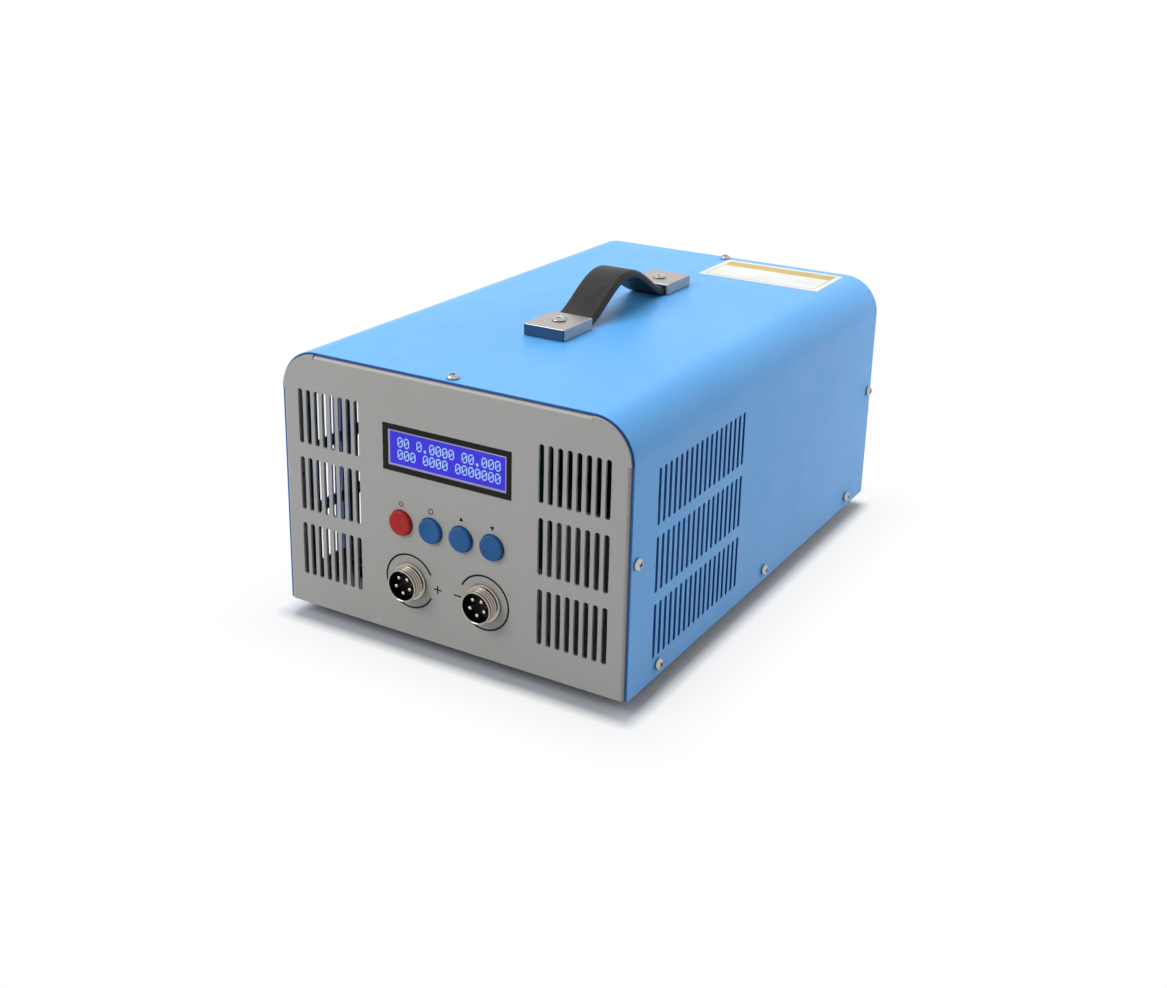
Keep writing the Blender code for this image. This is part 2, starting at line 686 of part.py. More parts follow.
def make_rear_panel(metal):
    """Rear panel: fan grille and the holes for the inlet, the power switch and the data port."""
    panel = make_panel("rear_panel", REAR_FACE, -1, metal)
    cuts = bmesh.new()
    before = REAR_BACK - PANEL_SHEET
    behind = REAR_FACE + PANEL_SHEET
    for slot in grille_slots():
        add_prism(cuts, slot, "Y", before, behind)
    for place in fan_screw_places().values():
        add_cylinder(cuts, "Y", place, SCREW_RADIUS + GAP, before, behind)
    add_prism(cuts, inlet_outline(GAP), "Y", before, behind)
    opening = centred_rectangle((SWITCH_X, SWITCH_Z), SWITCH_BODY_WIDTH, SWITCH_BODY_HEIGHT, GAP)
    add_prism(cuts, opening, "Y", before, behind)
    opening = centred_rectangle((PORT_X, PORT_Z), PORT_WIDTH, PORT_HEIGHT, GAP)
    add_prism(cuts, opening, "Y", before, behind)
    cut_flange_holes(cuts, CASE_LENGTH - PANEL_SCREW_SETBACK)
    combine(panel, make_tool("rear_panel_cuts", cuts), "DIFFERENCE")
    return panel


def foot_places():
    """The four feet, near the corners of the floor."""
    across = CASE_WIDTH / 2 - FOOT_INSET
    rear = CASE_LENGTH - FOOT_REAR_SETBACK
    return {
        "front_left": (-across, FOOT_FRONT_SETBACK),
        "front_right": (across, FOOT_FRONT_SETBACK),
        "rear_left": (-across, rear),
        "rear_right": (across, rear),
    }


def make_base_tray(metal):
    """Floor of the case, with a flange along each side between the panels' own flanges."""
    fold = INNER_HALF - FLOOR_BEND
    narrow = INNER_HALF - PANEL_SHEET - GAP
    inner_bend = PANEL_BEND - PANEL_SHEET
    front = PANEL_BACK + inner_bend + GAP
    rear = REAR_BACK - inner_bend - GAP
    flange_front = PANEL_FLANGE + GAP
    flange_rear = CASE_LENGTH - PANEL_FLANGE - GAP
    bm = bmesh.new()
    outline = [
        (-narrow, front), (narrow, front), (narrow, flange_front), (fold, flange_front),
        (fold, flange_rear), (narrow, flange_rear), (narrow, rear), (-narrow, rear),
        (-narrow, flange_rear), (-fold, flange_rear), (-fold, flange_front), (-narrow, flange_front),
    ]
    add_prism(bm, outline, "Z", FLOOR_RISE, FLOOR_TOP)
    tray = make_part("base_tray", bm, metal)

    flanges = bmesh.new()
    for side in (-1, 1):
        section = flange_outline(side * INNER_HALF, FLOOR_RISE, 1, FLOOR_FLANGE, FLOOR_BEND, FLOOR_SHEET)
        add_prism(flanges, section, "Y", flange_front + GAP, flange_rear - GAP)
    combine(tray, make_tool("base_tray_flanges", flanges), "UNION")

    cuts = bmesh.new()
    for depth, height in screw_places().values():
        if height == FLOOR_SCREW_HEIGHT:
            add_cylinder(cuts, "X", (depth, height), SCREW_RADIUS + GAP, -CASE_WIDTH, CASE_WIDTH)
    for place in foot_places().values():
        add_cylinder(cuts, "Z", place, FOOT_NECK_RADIUS + GAP, -CASE_HEIGHT, FLOOR_TOP + FLOOR_SHEET)
    combine(tray, make_tool("base_tray_cuts", cuts), "DIFFERENCE")
    return tray


def make_feet(rubber):
    """Push-in rubber feet, each with a neck through the floor and a barb above it."""
    seat = FLOOR_RISE - GAP
    barb = FLOOR_TOP + GAP
    profile = [
        (0, -COVER_LIFT), (FOOT_TIP_RADIUS, -COVER_LIFT), (FOOT_RADIUS, seat - 2 * FLOOR_SHEET),
        (FOOT_RADIUS, seat), (FOOT_NECK_RADIUS, seat), (FOOT_NECK_RADIUS, barb), (FOOT_BARB_RADIUS, barb),
        (FOOT_NECK_RADIUS, barb + FOOT_BARB_HEIGHT), (0, barb + FOOT_BARB_HEIGHT),
    ]
    for side, (across, depth) in foot_places().items():
        bm = bmesh.new()
        add_turned(bm, profile, "Z")
        smooth_round(make_part("foot_" + side, bm, rubber, (across, depth, 0)))


def screw_mesh(name, metal, head_radius, head_height, radius, length):
    """A domed screw standing on its head's seat, with its shank below."""
    shoulder = (head_radius * math.cos(SCREW_DOME), head_height * math.sin(SCREW_DOME))
    profile = [(0, head_height), shoulder, (head_radius, 0), (radius, 0), (radius, -length), (0, -length)]
    bm = bmesh.new()
    add_turned(bm, profile, "Z", steps=SMALL_ROUND_STEPS)
    bmesh.ops.recalc_face_normals(bm, faces=bm.faces)
    mesh = bpy.data.meshes.new(name)
    bm.to_mesh(mesh)
    bm.free()
    mesh.materials.append(metal)
    mesh.shade_smooth()
    mesh.set_sharp_from_angle(angle=math.radians(40))
    return mesh


def make_screws(metal):
    """Pan-head screws in the sides, the top and the fan's corners."""
    mesh = screw_mesh("case_screw", metal, SCREW_HEAD_RADIUS, SCREW_HEAD_HEIGHT, SCREW_RADIUS, SCREW_LENGTH)
    for name, (depth, height) in screw_places().items():
        for side, way in (("left", -1), ("right", 1)):
            place = (way * (CASE_WIDTH / 2 + GAP), depth, height)
            place_mesh(f"side_screw_{side}_{name}", mesh, place, (0, way * math.pi / 2, 0))
    for name, depth in top_screw_places().items():
        place_mesh(f"top_screw_{name}", mesh, (0, depth, CASE_HEIGHT + GAP))
    for name, (across, height) in fan_screw_places().items():
        place_mesh(f"fan_screw_{name}", mesh, (across, REAR_FACE + GAP, height), (-math.pi / 2, 0, 0))


def make_handle_caps(nickel):
    """Metal caps that clamp the strap's ends: hollow below, open towards the strap."""
    for side, (mouth, way) in handle_ends().items():
        low = CASE_HEIGHT + GAP
        top = low + CAP_HEIGHT
        outer = mouth - way * CAP_LENGTH
        ends = sorted((mouth, outer))
        bm = bmesh.new()
        add_block(bm, (-CAP_WIDTH / 2, ends[0], low), (CAP_WIDTH / 2, ends[1], top))
        bevel_edges(bm, CAP_EDGE, lambda edge: max(v.co.z for v in edge.verts) > top - GAP, 2)
        cap = make_part("handle_cap_" + side, bm, nickel)

        hollow = bmesh.new()
        inner = sorted((mouth + way * CAP_END_WALL, outer + way * CAP_END_WALL))
        half = STRAP_WIDTH / 2 + GAP
        add_block(hollow, (-half, inner[0], CASE_HEIGHT - GAP), (half, inner[1], low + STRAP_THICKNESS + GAP))
        combine(cap, make_tool("handle_cap_hollow_" + side, hollow), "DIFFERENCE")
        hole = bmesh.new()
        screw = (0, handle_screw_depths()[side])
        add_cylinder(hole, "Z", screw, HANDLE_SCREW_RADIUS + GAP, CASE_HEIGHT, top + CAP_HEIGHT)
        combine(cap, make_tool("handle_cap_hole_" + side, hole), "DIFFERENCE")


def strap_path():
    """Middle line of the strap: flat in the caps, and one smooth arch between them."""
    seat = CASE_HEIGHT + GAP + STRAP_THICKNESS / 2
    front = HANDLE_MIDDLE - HANDLE_SPAN / 2
    hidden = CAP_LENGTH - CAP_END_WALL - GAP
    path = [(front - hidden, seat), (front - hidden / 2, seat)]
    for step in range(STRAP_STEPS + 1):
        share = step / STRAP_STEPS
        rise = ((1 - math.cos(math.tau * share)) / 2) ** STRAP_FULLNESS
        path.append((front + HANDLE_SPAN * share, seat + STRAP_RISE * rise))
    rear = front + HANDLE_SPAN
    path += [(rear + hidden / 2, seat), (rear + hidden, seat)]
    return path


def make_handle(nickel, rubber, metal):
    """The carrying strap, its caps and their screws."""
    make_handle_caps(nickel)
    bm = bmesh.new()
    outline = band_outline(strap_path(), STRAP_THICKNESS)
    corners = add_prism(bm, outline, "X", -STRAP_WIDTH / 2, STRAP_WIDTH / 2)
    crown = {corners[index] for index in range(len(corners)) if index % len(outline) < len(outline) // 2}
    bevel_edges(bm, STRAP_EDGE, lambda edge: all(v in crown for v in edge.verts)
                and abs(edge.verts[0].co.x - edge.verts[1].co.x) < GAP)
    strap = make_part("handle_strap", bm, rubber)
    holes = bmesh.new()
    for depth in handle_screw_depths().values():
        top = CASE_HEIGHT + CAP_HEIGHT + STRAP_RISE
        add_cylinder(holes, "Z", (0, depth), HANDLE_SCREW_RADIUS + GAP, CASE_HEIGHT - GAP, top)
    combine(strap, make_tool("handle_strap_holes", holes), "DIFFERENCE")
    mesh = screw_mesh("handle_screw", metal, HANDLE_SCREW_HEAD, HANDLE_SCREW_HEIGHT,
                      HANDLE_SCREW_RADIUS, HANDLE_SCREW_LENGTH)
    for side, depth in handle_screw_depths().items():
        place_mesh("handle_screw_" + side, mesh, (0, depth, CASE_HEIGHT + CAP_HEIGHT + 2 * GAP))


def make_display(black, glass, board):
    """The display: a black metal frame over its glass, on a board of its own."""
    face = PANEL_FACE
    half = DISPLAY_WIDTH / 2
    rise = DISPLAY_HEIGHT / 2
    bm = bmesh.new()
    add_block(bm, (-half, face, -rise), (half, face + DISPLAY_DEPTH, rise))
    bezel = make_part("display_frame", bm, black, (0, 0, DISPLAY_CENTRE))
    hollow = bmesh.new()
    inside = centred_rectangle((0, 0), DISPLAY_WIDTH, DISPLAY_HEIGHT, -DISPLAY_SHEET)
    add_prism(hollow, inside, "Y", face + DISPLAY_SHEET, face + 2 * DISPLAY_DEPTH)
    combine(bezel, make_tool("display_frame_hollow", hollow, (0, 0, DISPLAY_CENTRE)), "DIFFERENCE")
    window = bmesh.new()
    opening = centred_rectangle((0, 0), DISPLAY_WIDTH, DISPLAY_HEIGHT, -DISPLAY_RIM)
    add_prism(window, opening, "Y", face - DISPLAY_SHEET, face + DISPLAY_DEPTH / 2)
    combine(bezel, make_tool("display_frame_window", window, (0, 0, DISPLAY_CENTRE)), "DIFFERENCE")

    bm = bmesh.new()
    pane = centred_rectangle((0, 0), DISPLAY_WIDTH, DISPLAY_HEIGHT, -DISPLAY_SHEET - GAP)
    front = face + DISPLAY_SHEET + GAP
    add_prism(bm, pane, "Y", front, front + DISPLAY_GLASS)
    make_part("display_glass", bm, glass, (0, 0, DISPLAY_CENTRE))

    bm = bmesh.new()
    back = face + DISPLAY_DEPTH + GAP
    add_prism(bm, centred_rectangle((0, 0), DISPLAY_BOARD_WIDTH, DISPLAY_BOARD_HEIGHT), "Y",
              back, back + BOARD_THICKNESS)
    carrier = make_part("display_board", bm, board, (0, 0, DISPLAY_CENTRE))
    light = bmesh.new()
    block = centred_rectangle((0, 0), DISPLAY_WIDTH, DISPLAY_HEIGHT, -DISPLAY_SHEET - GAP)
    add_prism(light, block, "Y", front + DISPLAY_GLASS + GAP, back + BOARD_THICKNESS / 2)
    combine(carrier, make_tool("display_board_light", light, (0, 0, DISPLAY_CENTRE)), "UNION")


def make_control_board(board):
    """Control board with the key switches and the strip that joins it to the display."""
    half = CONTROL_WIDTH / 2
    bm = bmesh.new()
    outline = rectangle(-half, CONTROL_BASE, half, CONTROL_TOP)
    add_prism(bm, outline, "Y", CONTROL_DEPTH, CONTROL_DEPTH + BOARD_THICKNESS)
    carrier = make_part("control_board", bm, board)

    fitted = bmesh.new()
    root = CONTROL_DEPTH + BOARD_THICKNESS / 2
    plunger = PANEL_BACK + 2 * GAP + BUTTON_RIM + BUTTON_STEM + BUTTON_TRAVEL + GAP
    for across in button_columns().values():
        side = SWITCH_SIDE
        body = centred_rectangle((across, BUTTON_HEIGHT), side, side)
        add_prism(fitted, body, "Y", CONTROL_DEPTH - SWITCH_HEIGHT, root)
    combine(carrier, make_tool("control_board_switches", fitted), "UNION")
    raised = bmesh.new()
    for across in button_columns().values():
        add_cylinder(raised, "Y", (across, BUTTON_HEIGHT), SWITCH_PLUNGER_RADIUS, plunger, root)
    strip = PANEL_FACE + DISPLAY_DEPTH + 2 * GAP + BOARD_THICKNESS
    strip_top = DISPLAY_CENTRE + DISPLAY_BOARD_HEIGHT / 2 - BOARD_THICKNESS
    header = rectangle(-half / 2, strip_top - 2 * BOARD_THICKNESS, half / 2, strip_top)
    add_prism(raised, header, "Y", strip, root)
    combine(carrier, make_tool("control_board_plungers", raised), "UNION")


def make_buttons(red, blue):
    """Four round caps, each with a rim behind the panel and a stem to its key switch."""
    rim = PANEL_BACK + 2 * GAP
    crown = PANEL_FACE - BUTTON_REACH
    profile = [
        (0, crown), (BUTTON_RADIUS - BUTTON_EDGE, crown), (BUTTON_RADIUS, crown + BUTTON_EDGE),
        (BUTTON_RADIUS, rim), (BUTTON_RIM_RADIUS, rim), (BUTTON_RIM_RADIUS, rim + BUTTON_RIM),
        (BUTTON_STEM_RADIUS, rim + BUTTON_RIM), (BUTTON_STEM_RADIUS, rim + BUTTON_RIM + BUTTON_STEM),
        (0, rim + BUTTON_RIM + BUTTON_STEM),
    ]
    for name, across in button_columns().items():
        bm = bmesh.new()
        add_turned(bm, profile, "Y")
        colour = red if name == BUTTON_NAMES[0] else blue
        smooth_round(make_part(name, bm, colour, (across, 0, BUTTON_HEIGHT)))


def pin_places():
    """The pins stand on a circle, one at the bottom."""
    return [(PIN_CIRCLE * math.cos(angle), PIN_CIRCLE * math.sin(angle))
            for angle in (math.tau * (pin / PIN_COUNT - 0.25) for pin in range(PIN_COUNT))]


def make_socket(side, across, metal, plastic, steel):
    """One round output socket: shell, insert with its pins, and the nut behind the panel."""
    rim = PANEL_FACE - SOCKET_REACH
    seat = PANEL_FACE - GAP
    rear = seat + SOCKET_BODY
    shoulder = rim + SOCKET_SHOULDER
    place = (across, 0, SOCKET_HEIGHT)
    profile = [
        (SOCKET_BORE, rim), (SOCKET_RADIUS, rim), (SOCKET_RADIUS, seat - SOCKET_FLANGE),
        (SOCKET_FLANGE_RADIUS, seat - SOCKET_FLANGE), (SOCKET_FLANGE_RADIUS, seat),
        (SOCKET_BODY_RADIUS, seat), (SOCKET_BODY_RADIUS, rear), (SOCKET_BODY_BORE, rear),
        (SOCKET_BODY_BORE, shoulder), (SOCKET_BORE, shoulder),
    ]
    bm = bmesh.new()
    add_turned(bm, profile, "Y", closed=True)
    smooth_round(make_part("socket_shell_" + side, bm, metal, place))

    face = rim + SOCKET_CAVITY
    head = SOCKET_BORE - GAP
    tail = SOCKET_BODY_BORE - GAP
    end = rear + INSERT_TAIL
    profile = [(0, face), (head, face), (head, shoulder - GAP), (tail, shoulder - GAP), (tail, end), (0, end)]
    bm = bmesh.new()
    add_turned(bm, profile, "Y")
    insert = make_part("socket_insert_" + side, bm, plastic, place)
    pins = bmesh.new()
    for pin in pin_places():
        add_cylinder(pins, "Y", pin, PIN_RADIUS, rim + PIN_RECESS, end + PIN_TAIL, PIN_SIDES)
    combine(insert, make_tool("socket_pins_" + side, pins, place), "UNION")

    bm = bmesh.new()
    start = PANEL_BACK + GAP
    add_prism(bm, circle(0, 0, NUT_FLATS / math.sqrt(3), 6), "Y", start, start + NUT_HEIGHT)
    nut = make_part("socket_nut_" + side, bm, steel, place)
    bore = bmesh.new()
    add_prism(bore, circle(0, 0, SOCKET_BODY_RADIUS + GAP, ROUND_STEPS), "Y",
              start - NUT_HEIGHT, start + 2 * NUT_HEIGHT)
    combine(nut, make_tool("socket_nut_bore_" + side, bore, place), "DIFFERENCE")


def make_heatsink(aluminium):
    """Extruded heatsink: a thick top plate, thin fins below it and two legs with toes."""
    floor = FLOOR_TOP + GAP
    under = SINK_TOP - SINK_BASE
    inner_left = SINK_LEFT + SINK_TOE + SINK_LEG
    inner_right = SINK_RIGHT - SINK_TOE - SINK_LEG
    outline = [
        (SINK_LEFT, floor), (inner_left, floor), (inner_left, under),
    ]
    pitch = (inner_right - inner_left) / (SINK_FIN_COUNT + 1)
    for fin in range(1, SINK_FIN_COUNT + 1):
        middle = inner_left + fin * pitch
        outline += [(middle - SINK_FIN / 2, under), (middle - SINK_FIN / 2, SINK_FIN_TIP),
                    (middle + SINK_FIN / 2, SINK_FIN_TIP), (middle + SINK_FIN / 2, under)]
    outline += [
        (inner_right, under), (inner_right, floor), (SINK_RIGHT, floor), (SINK_RIGHT, floor + SINK_LEG),
        (inner_right + SINK_LEG, floor + SINK_LEG), (inner_right + SINK_LEG, SINK_TOP),
        (inner_left - SINK_LEG, SINK_TOP), (inner_left - SINK_LEG, floor + SINK_LEG),
        (SINK_LEFT, floor + SINK_LEG),
    ]
    bm = bmesh.new()
    add_prism(bm, outline, "Y", SINK_FRONT, SINK_REAR)
    make_part("heatsink", bm, aluminium)


def make_load_board(board):
    """Power board over the heatsink, its transistors pressed down on the heatsink's plate."""
    left = SINK_LEFT + SINK_TOE + LOAD_BOARD_MARGIN
    right = SINK_RIGHT - SINK_TOE - LOAD_BOARD_MARGIN
    front = SINK_FRONT + LOAD_BOARD_MARGIN
    rear = SINK_REAR - LOAD_BOARD_MARGIN
    low = SINK_TOP + LOAD_BOARD_LIFT
    top = low + BOARD_THICKNESS
    bm = bmesh.new()
    add_block(bm, (left, front, low), (right, rear, top))
    carrier = make_part("load_board", bm, board)

    below = bmesh.new()
    pitch = (rear - front) / TRANSISTOR_COUNT
    inner = left + TRANSISTOR_INSET
    for index in range(TRANSISTOR_COUNT):
        start = front + pitch * (index + 0.5) - TRANSISTOR_WIDTH / 2
        add_block(below, (inner, start, SINK_TOP + GAP),
                  (inner + TRANSISTOR_LENGTH, start + TRANSISTOR_WIDTH, low + BOARD_THICKNESS / 2))
    combine(carrier, make_tool("load_board_transistors", below), "UNION")

    fitted = bmesh.new()
    root = top - BOARD_THICKNESS / 4
    pitch = (rear - front) / (CAPACITOR_COUNT + 1)
    for index in range(CAPACITOR_COUNT):
        place = (right - 2 * CAPACITOR_RADIUS, front + pitch * (index + 1))
        add_cylinder(fitted, "Z", place, CAPACITOR_RADIUS, root, top + CAPACITOR_HEIGHT, COMPONENT_STEPS)
    coil = (left + COIL_RADIUS + LOAD_BOARD_MARGIN, rear - COIL_RADIUS - LOAD_BOARD_MARGIN)
    add_turned(fitted, [(COIL_HOLE, root), (COIL_RADIUS, root), (COIL_RADIUS, top + COIL_HEIGHT),
                        (COIL_HOLE, top + COIL_HEIGHT)], "Z", (*coil, 0), COMPONENT_STEPS, True)
    for across in terminal_columns():
        add_block(fitted, (across - TERMINAL_SIZE / 2, front, root),
                  (across + TERMINAL_SIZE / 2, front + TERMINAL_SIZE, top + TERMINAL_SIZE))
    combine(carrier, make_tool("load_board_components", fitted), "UNION")


def terminal_columns():
    """Where the two lead terminals stand on the load board."""
    middle = (SINK_LEFT + SINK_RIGHT) / 2
    return (middle - TERMINAL_SPREAD / 2, middle + TERMINAL_SPREAD / 2)


def make_power_supply(metal):
    """Mains power supply with a stepped end for its barrier terminals."""
    floor = FLOOR_TOP + GAP
    step_floor = SUPPLY_TOP - SUPPLY_STEP_HEIGHT
    outline = [
        (SUPPLY_FRONT, floor), (SUPPLY_REAR, floor), (SUPPLY_REAR, step_floor),
        (SUPPLY_REAR - SUPPLY_STEP, step_floor), (SUPPLY_REAR - SUPPLY_STEP, SUPPLY_TOP),
        (SUPPLY_FRONT, SUPPLY_TOP),
    ]
    bm = bmesh.new()
    add_prism(bm, outline, "X", SUPPLY_LEFT, SUPPLY_RIGHT)
    supply = make_part("power_supply", bm, metal)
    barriers = bmesh.new()
    pitch = (SUPPLY_RIGHT - SUPPLY_LEFT - SUPPLY_BARRIER) / (SUPPLY_BARRIERS - 1)
    for index in range(SUPPLY_BARRIERS):
        start = SUPPLY_LEFT + index * pitch
        add_block(barriers, (start, SUPPLY_REAR - SUPPLY_STEP - GAP, step_floor - GAP),
                  (start + SUPPLY_BARRIER, SUPPLY_REAR - LOAD_BOARD_MARGIN, step_floor + SUPPLY_BLOCK_HEIGHT))
    combine(supply, make_tool("power_supply_barriers", barriers), "UNION")


def fan_front():
    """Depth of the fan frame's inner face."""
    return REAR_BACK - GAP - FAN_DEPTH


def make_fan_frame(plastic):
    """Square fan frame with a round duct, a motor base and four arms."""
    half = FAN_SIDE / 2
    inner = half - FAN_CORNER
    outline = []
    for quarter, (u, v) in enumerate(((inner, -inner), (inner, inner), (-inner, inner), (-inner, -inner))):
        outline += arc(u, v, FAN_CORNER, quarter * 90 - 90, quarter * 90, FAN_CORNER_STEPS)
    front = fan_front()
    rear = front + FAN_DEPTH
    place = (FAN_CENTRE_X, 0, FAN_CENTRE_Z)
    bm = bmesh.new()
    add_prism(bm, outline, "Y", front, rear)
    frame = make_part("fan_frame", bm, plastic, place)
    cuts = bmesh.new()
    duct = circle(0, 0, FAN_DUCT_RADIUS, FAN_DUCT_STEPS)
    add_prism(cuts, duct, "Y", front - FAN_DEPTH, rear + FAN_DEPTH)
    for u in (-FAN_SCREW_SPREAD, FAN_SCREW_SPREAD):
        for v in (-FAN_SCREW_SPREAD, FAN_SCREW_SPREAD):
            add_cylinder(cuts, "Y", (u, v), SCREW_RADIUS + GAP, front - FAN_DEPTH, rear + FAN_DEPTH)
    combine(frame, make_tool("fan_frame_cuts", cuts, place), "DIFFERENCE")

    base = bmesh.new()
    base_front = rear - FAN_BASE_DEPTH
    add_prism(base, circle(0, 0, FAN_HUB_RADIUS, ROUND_STEPS), "Y", base_front, rear)
    combine(frame, make_tool("fan_motor_base", base, place), "UNION")
    arms = bmesh.new()
    reach = FAN_DUCT_RADIUS + SEAM_OVERLAP
    for turn in range(FAN_ARM_COUNT):
        corners = add_block(arms, (FAN_HUB_RADIUS / 2, base_front + GAP, -FAN_ARM / 2),
                            (reach, rear - GAP, FAN_ARM / 2))
        bmesh.ops.rotate(arms, verts=corners, cent=(0, 0, 0),
                         matrix=Matrix.Rotation(turn * math.tau / FAN_ARM_COUNT, 3, "Y"))
    combine(frame, make_tool("fan_arms", arms, place), "UNION")
    bearing = bmesh.new()
    add_cylinder(bearing, "Y", (0, 0), FAN_SHAFT_RADIUS + GAP, base_front - GAP, base_front + FAN_SHAFT + GAP)
    combine(frame, make_tool("fan_bearing", bearing, place), "DIFFERENCE")


def blade_section(radius, share):
    """Four corners of a blade's section at a radius, pitched less towards the tip."""
    pitch = FAN_BLADE_ROOT_PITCH + (FAN_BLADE_TIP_PITCH - FAN_BLADE_ROOT_PITCH) * share
    middle = fan_front() + FAN_HUB_DEPTH / 2 + GAP
    corners = []
    for chord, skin in ((-0.5, -0.5), (0.5, -0.5), (0.5, 0.5), (-0.5, 0.5)):
        run = chord * FAN_BLADE_CHORD
        lift = skin * FAN_BLADE_THICKNESS
        round_way = run * math.cos(pitch) - lift * math.sin(pitch)
        depth = run * math.sin(pitch) + lift * math.cos(pitch)
        turn = round_way / radius
        corners.append(Vector((radius * math.cos(turn), middle + depth, radius * math.sin(turn))))
    return corners


def make_fan_rotor(plastic):
    """Fan hub with its shaft and swept blades, its origin on the fan's axis."""
    front = fan_front() + GAP
    base_front = fan_front() + FAN_DEPTH - FAN_BASE_DEPTH
    rear = base_front - GAP
    rotor_place = (FAN_CENTRE_X, 0, FAN_CENTRE_Z)
    profile = [(0, front), (FAN_HUB_RADIUS - FAN_HUB_EDGE, front), (FAN_HUB_RADIUS, front + FAN_HUB_EDGE),
               (FAN_HUB_RADIUS, rear), (FAN_SHAFT_RADIUS, rear), (FAN_SHAFT_RADIUS, base_front + FAN_SHAFT),
               (0, base_front + FAN_SHAFT)]
    bm = bmesh.new()
    add_turned(bm, profile, "Y")
    rotor = make_part("fan_rotor", bm, plastic, rotor_place)
    blades = bmesh.new()
    root = FAN_HUB_RADIUS - 2 * FAN_BLADE_THICKNESS
    for blade in range(FAN_BLADE_COUNT):
        rings = []
        for station in range(FAN_BLADE_STATIONS):
            share = station / (FAN_BLADE_STATIONS - 1)
            radius = root + (FAN_BLADE_RADIUS - root) * share
            rings.append([blades.verts.new(corner) for corner in blade_section(radius, share)])
        for inner, outer in zip(rings, rings[1:]):
            for side in range(4):
                after = (side + 1) % 4
                blades.faces.new((inner[side], inner[after], outer[after], outer[side]))
        blades.faces.new(rings[0][::-1])
        blades.faces.new(rings[-1])
        corners = [corner for ring in rings for corner in ring]
        bmesh.ops.rotate(blades, verts=corners, cent=(0, 0, 0),
                         matrix=Matrix.Rotation(blade * math.tau / FAN_BLADE_COUNT, 3, "Y"))
    combine(rotor, make_tool("fan_blades", blades, rotor_place), "UNION")


def make_power_inlet(plastic):
    """Mains inlet: a rim outside the panel, a deep socket and three flat pins."""
    seat = REAR_FACE + GAP
    rim = REAR_FACE + INLET_RIM
    end = rim - INLET_DEPTH
    bm = bmesh.new()
    add_prism(bm, inlet_outline(), "Y", end, seat + GAP)
    inlet = make_part("power_inlet", bm, plastic)
    collar = bmesh.new()
    outline = centred_rectangle((INLET_X, INLET_Z), INLET_WIDTH, INLET_HEIGHT, INLET_RIM_MARGIN)
    add_prism(collar, outline, "Y", seat, rim)
    combine(inlet, make_tool("power_inlet_collar", collar), "UNION")
    cuts = bmesh.new()
    add_prism(cuts, inlet_outline(-INLET_WALL), "Y", rim - INLET_CAVITY, rim + INLET_DEPTH)
    combine(inlet, make_tool("power_inlet_cavity", cuts), "DIFFERENCE")
    pins = bmesh.new()
    for way in (-1, 0, 1):
        across = INLET_X + way * INLET_PIN_SPREAD
        height = INLET_Z + (-INLET_PIN_OFFSET if way else INLET_PIN_OFFSET)
        pin = centred_rectangle((across, height), INLET_PIN_WIDTH, INLET_PIN_HEIGHT)
        add_prism(pins, pin, "Y", end - INLET_PIN_TAIL, rim - INLET_PIN_RECESS)
    combine(inlet, make_tool("power_inlet_pins", pins), "UNION")


def make_power_switch(plastic, key):
    """Rocker switch: a body clipped into the panel, and the key that tips in it."""
    seat = REAR_FACE + GAP
    rim = REAR_FACE + GAP + SWITCH_RIM
    end = rim - SWITCH_BODY_DEPTH
    centre = (SWITCH_X, SWITCH_Z)
    bm = bmesh.new()
    add_prism(bm, centred_rectangle(centre, SWITCH_BODY_WIDTH, SWITCH_BODY_HEIGHT), "Y", end, seat + GAP)
    body = make_part("switch_body", bm, plastic)
    collar = bmesh.new()
    outline = centred_rectangle(centre, SWITCH_BODY_WIDTH, SWITCH_BODY_HEIGHT, SWITCH_RIM_MARGIN)
    add_prism(collar, outline, "Y", seat, rim)
    combine(body, make_tool("switch_collar", collar), "UNION")
    well = bmesh.new()
    floor = rim - SWITCH_WELL
    add_prism(well, centred_rectangle(centre, SWITCH_BODY_WIDTH, SWITCH_BODY_HEIGHT, -SWITCH_WALL), "Y",
              floor, rim + SWITCH_BODY_DEPTH)
    combine(body, make_tool("switch_well", well), "DIFFERENCE")

    half = SWITCH_BODY_WIDTH / 2 - SWITCH_WALL - GAP
    rise = SWITCH_BODY_HEIGHT / 2 - SWITCH_WALL - 3 * GAP
    top = ROCKER_REACH
    outline = [
        (-ROCKER_DEPTH / 2, -rise / 2), (-ROCKER_DEPTH, 0), (-ROCKER_DEPTH / 2, rise / 2), (0, rise),
        (top, rise), (top - ROCKER_DISH, 0), (top, -rise), (0, -rise),
    ]
    bm = bmesh.new()
    add_prism(bm, outline, "X", -half, half)
    rocker = make_part("switch_rocker", bm, key, (SWITCH_X, rim - ROCKER_SINK, SWITCH_Z))
    rocker.rotation_euler = (ROCKER_TILT, 0, 0)


def make_data_port(metal):
    """Square data socket with its tongue, carried by the rear panel."""
    rim = REAR_FACE + GAP
    end = rim - PORT_DEPTH
    place = (PORT_X, PORT_Z)
    bm = bmesh.new()
    add_prism(bm, centred_rectangle(place, PORT_WIDTH, PORT_HEIGHT), "Y", end, rim)
    port = make_part("data_port", bm, metal)
    cuts = bmesh.new()
    add_prism(cuts, centred_rectangle(place, PORT_WIDTH, PORT_HEIGHT, -PORT_WALL), "Y",
              rim - PORT_CAVITY, rim + PORT_DEPTH)
    combine(port, make_tool("data_port_cavity", cuts), "DIFFERENCE")
    tongue = bmesh.new()
    add_prism(tongue, centred_rectangle(place, 2 * PORT_TONGUE, PORT_TONGUE), "Y",
              rim - PORT_CAVITY - GAP, rim - PORT_TONGUE / 2)
    combine(port, make_tool("data_port_tongue", tongue), "UNION")


